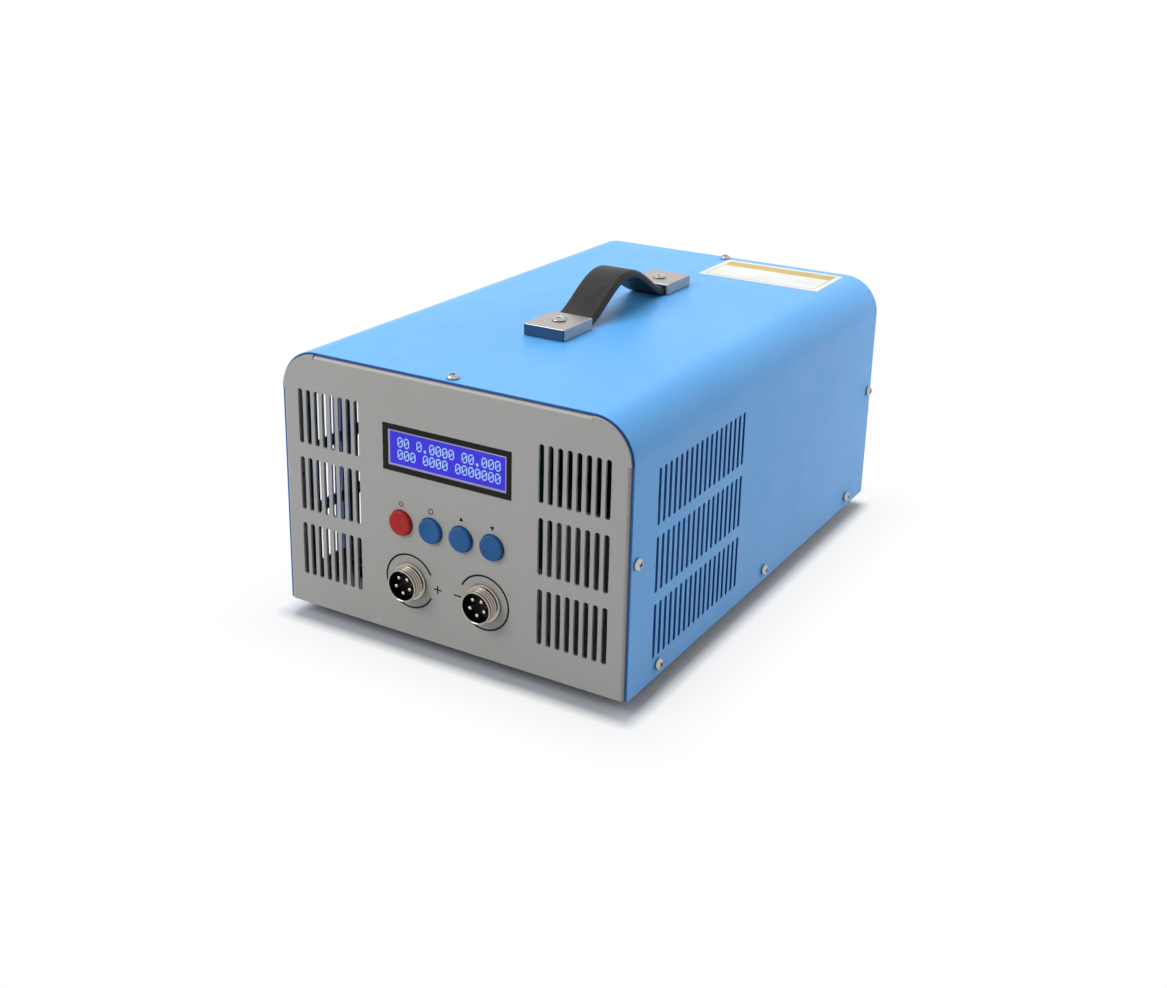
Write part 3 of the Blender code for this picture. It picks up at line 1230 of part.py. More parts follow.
def smooth_route(points, spacing):
    """Points at an even spacing on a smooth curve through the route's own points."""
    ends = [2 * points[0] - points[1]] + points + [2 * points[-1] - points[-2]]
    route = []
    for a, b, c, d in zip(ends, ends[1:], ends[2:], ends[3:]):
        steps = max(2, round((c - b).length / spacing))
        for step in range(steps):
            t = step / steps
            route.append(0.5 * (2 * b + (c - a) * t + (2 * a - 5 * b + 4 * c - d) * t * t
                                + (3 * b - a - 3 * c + d) * t * t * t))
    route.append(points[-1])
    return route


def make_lead(name, route, radius, material):
    """A round lead along a smooth route, with closed ends."""
    curve = bpy.data.curves.new(name, "CURVE")
    curve.dimensions = "3D"
    curve.bevel_depth = radius
    curve.bevel_resolution = 2
    curve.use_fill_caps = True
    spline = curve.splines.new("POLY")
    points = smooth_route([Vector(point) for point in route], 6 * radius)
    spline.points.add(len(points) - 1)
    for slot, point in zip(spline.points, points):
        slot.co = (*point, 1.0)
    curve.materials.append(material)
    return place_mesh(name, curve, (0, 0, 0))


def make_output_leads(red, black):
    """The two leads from the sockets to the load board's terminals."""
    tail = PANEL_FACE - GAP + SOCKET_BODY + INSERT_TAIL + PIN_TAIL + GAP
    terminal_front = SINK_FRONT + LOAD_BOARD_MARGIN - GAP
    terminal_height = SINK_TOP + LOAD_BOARD_LIFT + BOARD_THICKNESS + TERMINAL_SIZE / 2
    left, right = terminal_columns()
    run = terminal_front - tail
    climb = terminal_height - SOCKET_HEIGHT
    routes = {
        "positive_lead": (-SOCKET_SPREAD, left, red),
        "negative_lead": (SOCKET_SPREAD, right, black),
    }
    for name, (start, end, colour) in routes.items():
        route = [(start, tail, SOCKET_HEIGHT), (start, tail + LEAD_STRAIGHT, SOCKET_HEIGHT)]
        for across, depth, risen in LEAD_BENDS:
            place = (start + (end - start) * across, tail + run * depth, SOCKET_HEIGHT + climb * risen)
            route.append(place)
        route += [(end, terminal_front - LEAD_ENTRY, terminal_height), (end, terminal_front, terminal_height)]
        make_lead(name, route, LEAD_RADIUS, colour)


def make_mains_leads(brown, blue):
    """The two mains leads from the inlet to the power supply's terminals."""
    inlet_end = REAR_FACE + INLET_RIM - INLET_DEPTH - INLET_PIN_TAIL - GAP
    inlet_height = INLET_Z - INLET_PIN_OFFSET
    terminal_height = SUPPLY_TOP - SUPPLY_STEP_HEIGHT + GAP + MAINS_LEAD_RADIUS
    pitch = (SUPPLY_RIGHT - SUPPLY_LEFT - SUPPLY_BARRIER) / (SUPPLY_BARRIERS - 1)
    routes = {"live_lead": (INLET_PIN_SPREAD, 4, brown), "neutral_lead": (-INLET_PIN_SPREAD, 2, blue)}
    for name, (offset, bay, colour) in routes.items():
        start = INLET_X + offset
        end = SUPPLY_LEFT + SUPPLY_BARRIER / 2 + (bay + 0.5) * pitch
        route = [
            (start, inlet_end, inlet_height),
            (start, inlet_end - MAINS_STRAIGHT, inlet_height),
            ((start + end) / 2, inlet_end - 2 * MAINS_STRAIGHT, INLET_Z + MAINS_CREST),
            (end, SUPPLY_REAR + MAINS_CREST, terminal_height + 2 * MAINS_LEAD_RADIUS),
            (end, SUPPLY_REAR - MAINS_CREST, terminal_height),
            (end, SUPPLY_REAR - SUPPLY_STEP + 2 * MAINS_LEAD_RADIUS, terminal_height),
        ]
        make_lead(name, route, MAINS_LEAD_RADIUS, colour)


def make_signal_ribbon(grey):
    """Flat cable from the control board to the load board's front edge."""
    start_depth = CONTROL_DEPTH + BOARD_THICKNESS + GAP
    start_height = CONTROL_TOP - RIBBON_WIDTH
    end_depth = SINK_FRONT + LOAD_BOARD_MARGIN - GAP
    end_height = SINK_TOP + LOAD_BOARD_LIFT + BOARD_THICKNESS / 2
    path = []
    for step in range(RIBBON_STEPS + 1):
        share = step / RIBBON_STEPS
        sag = RIBBON_SAG * math.sin(math.pi * share)
        ease = share * share * (3 - 2 * share)
        path.append((start_depth + (end_depth - start_depth) * share,
                     start_height + (end_height - start_height) * ease - sag))
    bm = bmesh.new()
    centre = SINK_RIGHT - SINK_TOE - LOAD_BOARD_MARGIN - RIBBON_WIDTH
    outline = band_outline(path, RIBBON_THICKNESS)
    add_prism(bm, outline, "X", centre, centre + RIBBON_WIDTH)
    make_part("signal_ribbon", bm, grey)


def main():
    clear_scene()
    case_frame = bpy.data.objects.new("case_frame", None)
    bpy.context.scene.collection.objects.link(case_frame)
    case_frame.location = (0, FRONT_EDGE, COVER_LIFT)

    paint = make_material("blue_paint", (0.07, 0.33, 0.78), 0.38)
    panel_metal = make_material("grey_panel", (0.42, 0.41, 0.39), 0.45, 0.2)
    zinc = make_material("zinc_sheet", (0.45, 0.46, 0.47), 0.4, 0.9)
    steel = make_material("bright_steel", (0.75, 0.74, 0.72), 0.25, 1.0)
    nickel = make_material("satin_nickel", (0.72, 0.68, 0.66), 0.3, 1.0)
    rubber = make_material("black_rubber", (0.035, 0.033, 0.032), 0.6)
    strap = make_material("strap_rubber", (0.05, 0.048, 0.045), 0.5)
    black = make_material("black_plastic", (0.02, 0.02, 0.02), 0.4)
    glass = make_material("blue_display", (0.05, 0.03, 0.85), 0.1)
    green = make_material("green_board", (0.02, 0.16, 0.07), 0.5)
    red = make_material("red_cap", (0.5, 0.02, 0.025), 0.35)
    blue = make_material("blue_cap", (0.02, 0.14, 0.4), 0.35)
    aluminium = make_material("plain_aluminium", (0.7, 0.71, 0.72), 0.35, 1.0)
    red_lead = make_material("red_lead", (0.5, 0.02, 0.02), 0.5)
    black_lead = make_material("black_lead", (0.02, 0.02, 0.02), 0.5)
    brown_lead = make_material("brown_lead", (0.12, 0.04, 0.02), 0.5)
    blue_lead = make_material("blue_lead", (0.02, 0.08, 0.35), 0.5)
    ribbon = make_material("grey_ribbon", (0.4, 0.4, 0.42), 0.5)

    make_cover(paint)
    make_front_panel(panel_metal)
    make_rear_panel(panel_metal)
    make_base_tray(zinc)
    make_feet(rubber)
    make_screws(steel)
    make_handle(nickel, strap, steel)
    make_display(black, glass, green)
    make_control_board(green)
    make_buttons(red, blue)
    make_socket("left", -SOCKET_SPREAD, nickel, black, steel)
    make_socket("right", SOCKET_SPREAD, nickel, black, steel)
    make_heatsink(aluminium)
    make_load_board(green)
    make_power_supply(zinc)
    make_fan_frame(black)
    make_fan_rotor(black)
    make_power_inlet(black)
    make_power_switch(black, red)
    make_data_port(steel)
    make_output_leads(red_lead, black_lead)
    make_mains_leads(brown_lead, blue_lead)
    make_signal_ribbon(ribbon)


main()
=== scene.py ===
"""Looks of the bench battery tester: paint, printed panel, display, sockets, strap and screws."""
import math

import bpy
from mathutils import Matrix, Vector


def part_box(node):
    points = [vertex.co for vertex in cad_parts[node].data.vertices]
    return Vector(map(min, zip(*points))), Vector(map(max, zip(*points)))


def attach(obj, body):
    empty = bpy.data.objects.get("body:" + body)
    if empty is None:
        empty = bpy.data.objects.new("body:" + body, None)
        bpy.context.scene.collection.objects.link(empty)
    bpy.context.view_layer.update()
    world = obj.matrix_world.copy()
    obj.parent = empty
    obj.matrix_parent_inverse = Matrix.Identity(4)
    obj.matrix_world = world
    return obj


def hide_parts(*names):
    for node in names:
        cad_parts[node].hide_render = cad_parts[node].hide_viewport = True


MM = 0.001
HAIR = 0.02 * MM
MERGE = 0.001 * MM

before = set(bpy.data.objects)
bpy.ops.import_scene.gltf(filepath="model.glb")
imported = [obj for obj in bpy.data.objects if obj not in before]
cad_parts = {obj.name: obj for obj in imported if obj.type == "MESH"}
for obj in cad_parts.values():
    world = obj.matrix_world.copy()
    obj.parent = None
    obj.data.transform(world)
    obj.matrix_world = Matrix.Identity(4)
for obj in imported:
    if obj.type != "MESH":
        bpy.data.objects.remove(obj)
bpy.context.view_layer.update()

cover_low, cover_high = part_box("cover")
panel_low, panel_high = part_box("front_panel")

# The case, read from the frame
CASE_WIDTH = cover_high.x - cover_low.x
CASE_LENGTH = cover_high.y - cover_low.y
FRONT = cover_low.y
BASE = cover_low.z
TOP = cover_high.z
PANEL_FACE = panel_low.y
REAR_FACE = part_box("rear_panel")[1].y

# Sheet metal
COVER_SHEET = 1.2 * MM
COVER_BEND = 20 * MM
PANEL_SHEET = 1.2 * MM
PANEL_BEND = 1.6 * MM
PANEL_INSET = 1.5 * MM
EAR_OVERLAP = 0.35 * MM
EAR_SLIT = 0.25 * MM
CUT_EDGE = 0.15 * MM
# Depth under the cover's outer face from which its cut edges and inner side take the navy of painted shade
SHADE_DEPTH = 0.16 * MM
BEND_SHARE = 0.98
PANEL_HALF = CASE_WIDTH / 2 - PANEL_INSET
PANEL_TOP = TOP - PANEL_INSET
FOLD = PANEL_HALF - PANEL_BEND
FOLD_TOP = PANEL_TOP - PANEL_BEND
EAR_SIDE = CASE_WIDTH / 2 - COVER_BEND
EAR_LOW = TOP - COVER_BEND

# Gap round a part in its hole, and reach of a cutter through a panel
GAP = 0.3 * MM
THROUGH = 4 * PANEL_SHEET

# Share of a face's normal along an axis from which the face counts as facing that way
FACING = 0.9

# Vents
SIDE_VENT_COLUMNS = 18
SIDE_VENT_PITCH = 5.05 * MM
SIDE_VENT_WIDTH = 2.5 * MM
SIDE_VENT_LENGTH = 26.8 * MM
SIDE_VENT_SETBACK = 23.5 * MM
SIDE_VENT_LOWEST = 24.3 * MM
SIDE_VENT_ROW_PITCH = 32.35 * MM
FRONT_VENT_COLUMNS = 8
FRONT_VENT_PITCH = 4.73 * MM
FRONT_VENT_WIDTH = 2.8 * MM
FRONT_VENT_LENGTH = 27.3 * MM
FRONT_VENT_INNER = 50.3 * MM
FRONT_VENT_LOWEST = 29.6 * MM
FRONT_VENT_ROW_PITCH = 34.1 * MM
VENT_ROWS = 3
VENT_SIDES = 16

# Push buttons
BUTTON_NODES = ("start_button", "set_button", "up_button", "down_button")
BUTTON_REACH = 2.0 * MM
BUTTON_RADIUS = 6.05 * MM
BUTTON_SEAT = 1.8 * MM
BUTTON_RIM_RADIUS = 7.2 * MM
BUTTON_RIM = 1.2 * MM
BUTTON_STEM_RADIUS = 2.5 * MM
BUTTON_HOLE = 6.4 * MM

# Inset from a button's radius and drop from its top, in millimetres
BUTTON_CROWN = ((0, 0.75), (0.08, 0.45), (0.28, 0.2), (0.6, 0.05), (1.0, 0), (2.2, 0.04), (4.55, 0.1))

# Printed symbols over the buttons
SYMBOL_LIFT = 9.4 * MM
SYMBOL_SIZE = 2.4 * MM
SYMBOL_LINE = 0.42 * MM
SYMBOL_STEPS = 48
POWER_GAP = 38
POWER_BAR = 1.1
TRIANGLE = 1.15
PRINT_HEIGHT = 0.05 * MM

# Display
DISPLAY_RIM = 2.6 * MM
DISPLAY_CHAMFER = 0.35 * MM
DISPLAY_SHEET = 0.6 * MM
DISPLAY_EDGE = 0.75 * MM
EDGE_OVERLAP = 0.4 * MM
EDGE_FRONT = 0.25 * MM
EDGE_BACK = 0.03 * MM
CHARACTER_COLUMNS = 16
CHARACTER_DOTS = (5, 7)
CHARACTER_PITCH = 3.55 * MM
CHARACTER_ROW_PITCH = 5.95 * MM
DOT_PITCH_X = 0.60 * MM
DOT_PITCH_Z = 0.70 * MM
DOT_FILL = 0.92
DOT_FRONT = 0.04 * MM
DOT_BACK = 0.01 * MM
TEXT_SHIFT = 0.8 * MM
DISPLAY_ROWS = ("00 0.0000 00.000", "000 0000 0000000")

# Dots of the characters that the display shows
GLYPHS = {
    "0": ("01110", "10001", "10011", "10101", "11001", "10001", "01110"),
    ".": ("00000", "00000", "00000", "00000", "00000", "01100", "01100"),
}

# Sockets
SHELL_NODES = ("socket_shell_left", "socket_shell_right")
THREAD_COUNT = 3
THREAD_START = 1.9 * MM
THREAD_PITCH = 1.5 * MM
THREAD_DEPTH = 0.55 * MM
THREAD_VALLEY = 0.45 * THREAD_PITCH
THREAD_END = 0.9 * THREAD_PITCH
SOCKET_RADIUS = 7.9 * MM
SOCKET_REACH = 7.0 * MM
SOCKET_CAVITY = 6.0 * MM
SOCKET_BORE = 7.1 * MM
SOCKET_FLARE = 7.5 * MM
SOCKET_SHOULDER = SOCKET_REACH - 9.5 * MM
SOCKET_FACE = SOCKET_REACH - SOCKET_CAVITY
SHELL_SHANK = 7.6 * MM
SHELL_COLLAR = 1.7 * MM
SHELL_EDGE = 0.25 * MM
SHELL_MOUTH = 7.7 * MM
SHELL_THROAT = 6.3 * MM
INSERT_TAIL = 6 * MM
INSERT_TAIL_GAP = 3.5 * MM
INSERT_EDGE = 0.2 * MM
KEY_HALF = 0.8 * MM
KEY_SETBACK = 1.2 * MM
KEY_SINK = 0.5 * MM
KEY_LOW = SOCKET_BORE - 1.5 * MM
KEY_HIGH = SOCKET_BORE - 0.35 * MM
PIN_COUNT = 5
PIN_CIRCLE = 4.05 * MM
PIN_RADIUS = 1.0 * MM
PIN_RECESS = 0.9 * MM
PIN_DOME = 0.7 * PIN_RADIUS
PIN_SHARES = (0.35, 0.65, 0.8)
PIN_DIMPLE = 0.2 * PIN_RADIUS
PIN_DIMPLE_DEPTH = 0.3 * MM
PIN_SIDES = 20
PRINTED_RING = 13.3 * MM
PRINTED_LINE = 0.9 * MM
PRINTED_GAP = 24
SIGN_SIZE = 4.2 * MM
SIGN_LINE = 0.7 * MM
SIGN_HEIGHT = 28.1 * MM
PLUS_PLACE = -4.9 * MM
MINUS_PLACE = 6.3 * MM

# Inset from the flange's radius and distance from the panel, in millimetres
SHELL_FLANGE = ((0.2, 0.3), (0, 0.5), (0, 1.1), (0.3, 1.55))

# Screws
HEAD_RADIUS = 2.9 * MM
HEAD_HEIGHT = 2.0 * MM
CAP_HEAD_RADIUS = 3.9 * MM
CAP_HEAD_HEIGHT = 1.1 * MM
SHANK_RADIUS = 1.5 * MM
SHANK_LENGTH = 6 * MM
CAP_SHANK_RADIUS = 2 * MM
CAD_CAP_HEAD = 1.6 * MM
SCREW_TURN = 0.7

# Upright share of a screw head's height, places on its dome as shares of a quarter turn, and its edge
HEAD_FLANK = 0.22
HEAD_SHARES = (0.2, 0.4, 0.6, 0.8, 0.97)
HEAD_EDGE = 0.02

# Cross recess; a dark cross of painted shade at its bottom is a little smaller than the recess
RECESS_REACH = 1.9 * MM
RECESS_WING = 0.72 * MM
CAP_RECESS_REACH = 1.7 * MM
CAP_RECESS_WING = 1.0 * MM
RECESS_FLOOR = 0.12
RECESS_SHADE_HEIGHT = 0.8
RECESS_TAPER = 0.55
RECESS_SHADE_REACH = 0.93
RECESS_SHADE_WING = 0.9

# The way that each kind of screw faces
SCREW_WAYS = {
    "fan_screw": (0, 1, 0),
    "side_screw_left": (-1, 0, 0),
    "side_screw_right": (1, 0, 0),
    "top_screw": (0, 0, 1),
}

# Feet: share of the radius, and height in millimetres, above the ground for the tread and above the
# seat for the flange
FOOT_TREAD = ((0.5, 0.25), (0.55, 0), (0.82, 0), (0.875, 0.35))
FOOT_FLANGE = ((0.985, -1.0), (1, -0.5), (0.97, 0), (0.3, 0), (0.3, 2), (0.46, 2))
FOOT_TIP = 0.3
FOOT_SEAT = 0.5 * MM

# Carrying strap
CAP_EDGE = 0.55 * MM
CAP_CORNER = 0.8 * MM
CAP_WALL = 1.6 * MM
CAP_CAVITY = 4.6 * MM
CAP_DISH = ((CAP_HEAD_RADIUS - 0.4 * MM, -0.35 * MM), (4.9 * MM, 0.3 * MM))
STRAP_HOLE = 2.3 * MM
STRAP_WIDTH = 20 * MM
STRAP_THICKNESS = 4.2 * MM
STRAP_SHOULDER = 1.9 * MM
STRAP_EDGE = 0.7 * MM
STRAP_RISE = 17 * MM
STRAP_FULLNESS = 0.8
STRAP_STEPS = 40
STRAP_RIB = 2.5 * MM

# Rounds on the edges of small parts
CAP_ROUND = 0.1 * MM
GLASS_ROUND = 0.1 * MM
INLET_ROUND = 0.25 * MM
INLET_PIN_ROUND = 0.08 * MM
SWITCH_ROUND = 0.12 * MM
ROCKER_ROUND = 0.35 * MM
PORT_ROUND = 0.15 * MM
TONGUE_ROUND = 0.3 * MM

# Blank label on the top
LABEL_LEFT = 3 * MM
LABEL_RIGHT = 75.5 * MM
LABEL_FRONT = 243 * MM
LABEL_REAR = 284 * MM
LABEL_SHEET = 0.12 * MM
LABEL_SINK = 0.02 * MM
LABEL_INK = 0.03 * MM
LABEL_MARGIN = 3.2 * MM
LABEL_LINE = 0.6 * MM
LABEL_BAND = 10 * MM
LABEL_CORNER = 1.5 * MM

# Rear grille
GRILLE_PITCH = 6 * MM
GRILLE_WIDTH = 3.4 * MM
GRILLE_RADIUS = 37 * MM
GRILLE_RIB = 5 * MM
FAN_HOLE = 1.8 * MM

# Mains inlet, switch and data port
INLET_MARGIN = 3 * MM
INLET_CHAMFER = 5 * MM
INLET_CORNER = 2 * MM
INLET_EDGE = 0.7 * MM
INLET_DEPTH = 20 * MM
INLET_WALL = 2.5 * MM
INLET_CAVITY = 15.5 * MM
INLET_PIN_SPREAD = 7 * MM
INLET_PIN_OFFSET = 2 * MM
INLET_PIN_WIDTH = 2 * MM
INLET_PIN_HEIGHT = 4 * MM
INLET_PIN_RECESS = 5 * MM
INLET_PIN_EDGE = 0.6 * MM
SWITCH_MARGIN = 1.6 * MM
SWITCH_WALL = 1.4 * MM
SWITCH_WELL = 10 * MM
SWITCH_CORNER = 1.2 * MM
SWITCH_EDGE = 0.5 * MM
ROCKER_GAP = 0.9 * MM
ROCKER_REACH = 0.9 * MM
ROCKER_SINK = 0.2 * MM
ROCKER_DISH = 0.8 * MM
ROCKER_DEPTH = 7 * MM
ROCKER_TILT = math.radians(9)
MARK_SIZE = 2.6 * MM
MARK_LINE = 0.5 * MM
PORT_WALL = 0.8 * MM
PORT_CAVITY = 9 * MM
PORT_TONGUE = 3 * MM
PORT_CHAMFER = 1.4 * MM
PORT_MOUTH_CHAMFER = 1.3 * MM
PORT_OVERLAP = 0.2 * MM

# Finishes of the nodes inside, which keep their own shapes
KEPT_NODES = {
    "zinc_sheet": ("base_tray", "power_supply"),
    "green_board": ("display_board", "control_board", "load_board"),
    "bright_steel": ("socket_nut_left", "socket_nut_right"),
    "plain_aluminium": ("heatsink",),
    "black_plastic": ("fan_frame", "fan_rotor"),
    "red_lead": ("positive_lead",),
    "black_lead": ("negative_lead",),
    "brown_lead": ("live_lead",),
    "blue_lead": ("neutral_lead",),
    "grey_ribbon": ("signal_ribbon",),
}

# Colours
BLUE = (0.088, 0.36, 0.76)
BLUE_LIGHT = (0.10, 0.385, 0.80)
# Navy painted shade for the cover's cut edges and inner side
NAVY_SHADE = (0.012, 0.085, 0.33)
NICKEL = (0.50, 0.465, 0.445)
# Painted shade for the caps' upright sides, and a painted dark blue reflection for their outer ends
NICKEL_SIDE_SHADE = (0.37, 0.37, 0.37)
NICKEL_END_REFLECTION = (0.045, 0.085, 0.14)
SHELL = (0.42, 0.38, 0.33)
# Painted shade for the shell's thread grooves and bore
SHELL_GROOVE_SHADE = (0.07, 0.055, 0.042)

# Distances from an edge between which the nickel's painted shade and painted reflection fade in
TOP_SHADE_FADE = (0.5 * MM, 0.15 * MM)
END_REFLECTION_FADE = (0.5 * MM, 0.3 * MM)
MOUTH_SHADE_FADE = (0.1 * MM, 0.3 * MM)
GROOVE_SHADE_FADE = (THREAD_DEPTH, 0.04 * MM)

# Studio
FLOOR_SIZE = 12
# Pale grey of the floor where it takes shadow, tinted blue as a painted cast of light bounced from the blue
# case
FLOOR_GREY_WITH_BLUE_CAST = (0.61, 0.64, 0.69)
SHADOW_EDGE = 0.008
SHADOW_SHARE = 0.8
SHADOW_END = 0.04
AMBIENT = 0.24
LAMP_AIM = (0, 0, 0.07)

# Lamps: name, place, size, power, and whether reflections show them
LAMPS = (
    ("top_light", (-0.35, 0.35, 1.5), 1.2, 19.5, False),
    ("right_light", (0.5, 0.8, 0.4), 0.5, 4.6, False),
    ("front_light", (-0.7, -1.0, 0.95), 0.8, 12.5, True),
)

# Camera that took the picture, measured in the case's own frame
CAMERA_AZIMUTH = math.radians(30.065)
CAMERA_ELEVATION = math.radians(18.245)
CAMERA_ROLL = math.radians(1.353)
CAMERA_DISTANCE = 769.3 * MM
CAMERA_FOCAL = 1467.4
AIM_X = -7.67 * MM
AIM_DEPTH = 133 * MM
AIM_HEIGHT = 90.46 * MM
PICTURE_WIDTH = 1167
PICTURE_HEIGHT = 988
CENTRE_ROW = 385
SENSOR_WIDTH = 36.0
CLIP_START = 10 * MM


def spot(across, depth, height):
    """A point of the case: across from its middle, behind the cover's front edge, above its lower edge."""
    return Vector((across, FRONT + depth, BASE + height))


def middle_of(node):
    """Middle of a CAD node's box."""
    low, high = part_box(node)
    return (low + high) / 2


def nodes_named(start):
    """CAD nodes whose names start alike, in order."""
    return sorted(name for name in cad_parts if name.startswith(start))


# Modelling


def deselect():
    """Leave edit mode and deselect everything."""
    if bpy.context.object and bpy.context.object.mode != "OBJECT":
        bpy.ops.object.mode_set(mode="OBJECT")
    bpy.ops.object.select_all(action="DESELECT")


def only(piece):
    """Make one piece the selected, active one."""
    deselect()
    piece.select_set(True)
    bpy.context.view_layer.objects.active = piece


def name_new(name):
    """Name the primitive that was just added."""
    piece = bpy.context.object
    piece.name = name
    piece.data.name = name
    return piece


def settle(piece):
    """Move a piece's place, turn and size into its mesh."""
    only(piece)
    bpy.ops.object.transform_apply(location=True, rotation=True, scale=True)
    return piece


def add_block(name, low, high):
    """A block between two corners."""
    deselect()
    low = Vector(low)
    high = Vector(high)
    bpy.ops.mesh.primitive_cube_add(size=1.0, location=(low + high) / 2, scale=high - low)
    return settle(name_new(name))


def framed(name, node, inset, near, far):
    """A block with a CAD node's outline seen from the front, set in by a margin, between two depths."""
    low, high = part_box(node)
    return add_block(name, (low.x + inset, near, low.z + inset), (high.x - inset, far, high.z - inset))


def add_rod(name, start, end, radius, sides=32):
    """A round rod between two points."""
    deselect()
    run = Vector(end) - Vector(start)
    bpy.ops.mesh.primitive_cylinder_add(vertices=sides, radius=radius, depth=run.length,
                                        location=(Vector(start) + Vector(end)) / 2,
                                        rotation=run.to_track_quat("Z", "Y").to_euler())
    return settle(name_new(name))


def pick(piece, kind, test):
    """Enter edit mode with the vertices, edges or faces for which the test is true."""
    only(piece)
    bpy.ops.object.mode_set(mode="EDIT")
    bpy.ops.mesh.select_mode(type={"verts": "VERT", "edges": "EDGE", "faces": "FACE"}[kind])
    bpy.ops.mesh.select_all(action="DESELECT")
    bpy.ops.object.mode_set(mode="OBJECT")
    mesh = piece.data
    corners = mesh.vertices
    if kind == "verts":
        for vertex in corners:
            vertex.select = test(vertex.co)
    elif kind == "edges":
        for edge in mesh.edges:
            edge.select = test(corners[edge.vertices[0]].co, corners[edge.vertices[1]].co)
    else:
        for face in mesh.polygons:
            face.select = test(face.center, face.normal)
    bpy.ops.object.mode_set(mode="EDIT")


def edit_all(piece):
    """Enter edit mode with everything selected."""
    only(piece)
    bpy.ops.object.mode_set(mode="EDIT")
    bpy.ops.mesh.select_all(action="SELECT")


def done():
    """Leave edit mode."""
    bpy.ops.object.mode_set(mode="OBJECT")


def deep(a, b):
    """Whether an edge runs along Y, from the front to the rear."""
    return abs(a.y - b.y) > HAIR


def round_edges(piece, test, width, segments):
    """Bevel the edges for which the test is true."""
    pick(piece, "edges", test)
    bpy.ops.mesh.bevel(offset=width, segments=segments, affect="EDGES")
    done()
    return piece


def drop_faces(piece, test):
    """Delete the faces for which the test is true."""
    pick(piece, "faces", test)
    bpy.ops.mesh.delete(type="FACE")
    done()
    return piece


def shift(piece, test, move):
    """Move the vertices for which the test is true."""
    pick(piece, "verts", test)
    bpy.ops.transform.translate(value=move)
    done()
    return piece


def bake(piece, kind, **settings):
    """Add a modifier and apply it."""
    only(piece)
    modifier = piece.modifiers.new(kind.lower(), kind)
    for key, value in settings.items():
        setattr(modifier, key, value)
    bpy.ops.object.modifier_apply(modifier=modifier.name)
    return piece


def thicken(piece, sheet):
    """Give a surface the thickness of its sheet, inwards."""
    return bake(piece, "SOLIDIFY", thickness=sheet, offset=-1.0, use_even_offset=True)


def cut(piece, *tools):
    """Cut tools out of a piece; the tools are used up."""
    for tool in tools:
        bake(piece, "BOOLEAN", operation="DIFFERENCE", object=tool)
        bpy.data.objects.remove(tool, do_unlink=True)
    return piece


def weld(piece, *others):
    """Join other bodies on; they are used up."""
    for other in others:
        bake(piece, "BOOLEAN", operation="UNION", object=other)
        bpy.data.objects.remove(other, do_unlink=True)
    return piece


def join(pieces, name):
    """Several pieces as one object."""
    deselect()
    for piece in pieces:
        piece.select_set(True)
    bpy.context.view_layer.objects.active = pieces[0]
    bpy.ops.object.join()
    return name_new(name)


def outward(piece):
    """Merge doubles and turn every face outwards."""
    edit_all(piece)
    bpy.ops.mesh.remove_doubles(threshold=MERGE)
    bpy.ops.mesh.normals_make_consistent(inside=False)
    done()
    return piece


def facing(place, direction):
    """The matrix that moves a piece from the origin to a place and turns its top to a direction."""
    turn = Vector(direction).to_track_quat("Z", "Y").to_matrix().to_4x4()
    return Matrix.Translation(place) @ turn


def smooth(piece, degrees=30):
    """Shade round faces smooth and keep sharp edges."""
    only(piece)
    bpy.ops.object.shade_smooth_by_angle(angle=math.radians(degrees))
    return piece


def soften(piece, width, segments=2, degrees=40):
    """A small round on every sharp edge."""
    bake(piece, "BEVEL", width=width, segments=segments, limit_method="ANGLE",
         angle_limit=math.radians(degrees), use_clamp_overlap=True)
    smooth(piece, degrees)
    return bake(piece, "WEIGHTED_NORMAL", keep_sharp=True)


def turned(name, rings, centre, direction, sides=48):
    """A closed turned body: each ring is (radius, distance along the axis) from centre."""
    deselect()
    radius, distance = rings[0]
    bpy.ops.mesh.primitive_circle_add(vertices=sides, radius=radius, fill_type="NGON",
                                      location=(0, 0, distance))
    piece = settle(name_new(name))
    edit_all(piece)
    for after_radius, after in rings[1:]:
        bpy.ops.mesh.extrude_region_move(TRANSFORM_OT_translate={"value": (0, 0, after - distance)})
        ratio = after_radius / radius
        bpy.ops.transform.resize(value=(ratio, ratio, 1), center_override=(0, 0, 0))
        radius, distance = after_radius, after
    done()
    piece.matrix_world = facing(centre, direction)
    settle(piece)
    return outward(piece)


def copy_to(piece, name, transform):
    """A copy with its own mesh, moved by a matrix."""
    twin = piece.copy()
    twin.data = piece.data.copy()
    twin.name = name
    twin.data.name = name
    bpy.context.scene.collection.objects.link(twin)
    twin.matrix_world = transform @ piece.matrix_world
    return settle(twin)


def upright_slot(name, centre, axis, width, length, reach):
    """A cutter for an upright slot with round ends, along X or Y."""
    run = Vector((reach, 0, 0)) if axis == "X" else Vector((0, reach, 0))
    slot = add_rod(name, Vector(centre) - run, Vector(centre) + run, width / 2, VENT_SIDES)
    stretch = length / 2 - width / 2
    middle = centre[2]
    shift(slot, lambda co: co.z > middle + HAIR, (0, 0, stretch))
    shift(slot, lambda co: co.z < middle - HAIR, (0, 0, -stretch))
    return slot


def repeat(piece, count, step):
    """Copies of a cutter at an even step, all in one mesh."""
    return bake(piece, "ARRAY", count=count, use_relative_offset=False,
                use_constant_offset=True, constant_offset_displace=step)


# Shader maths


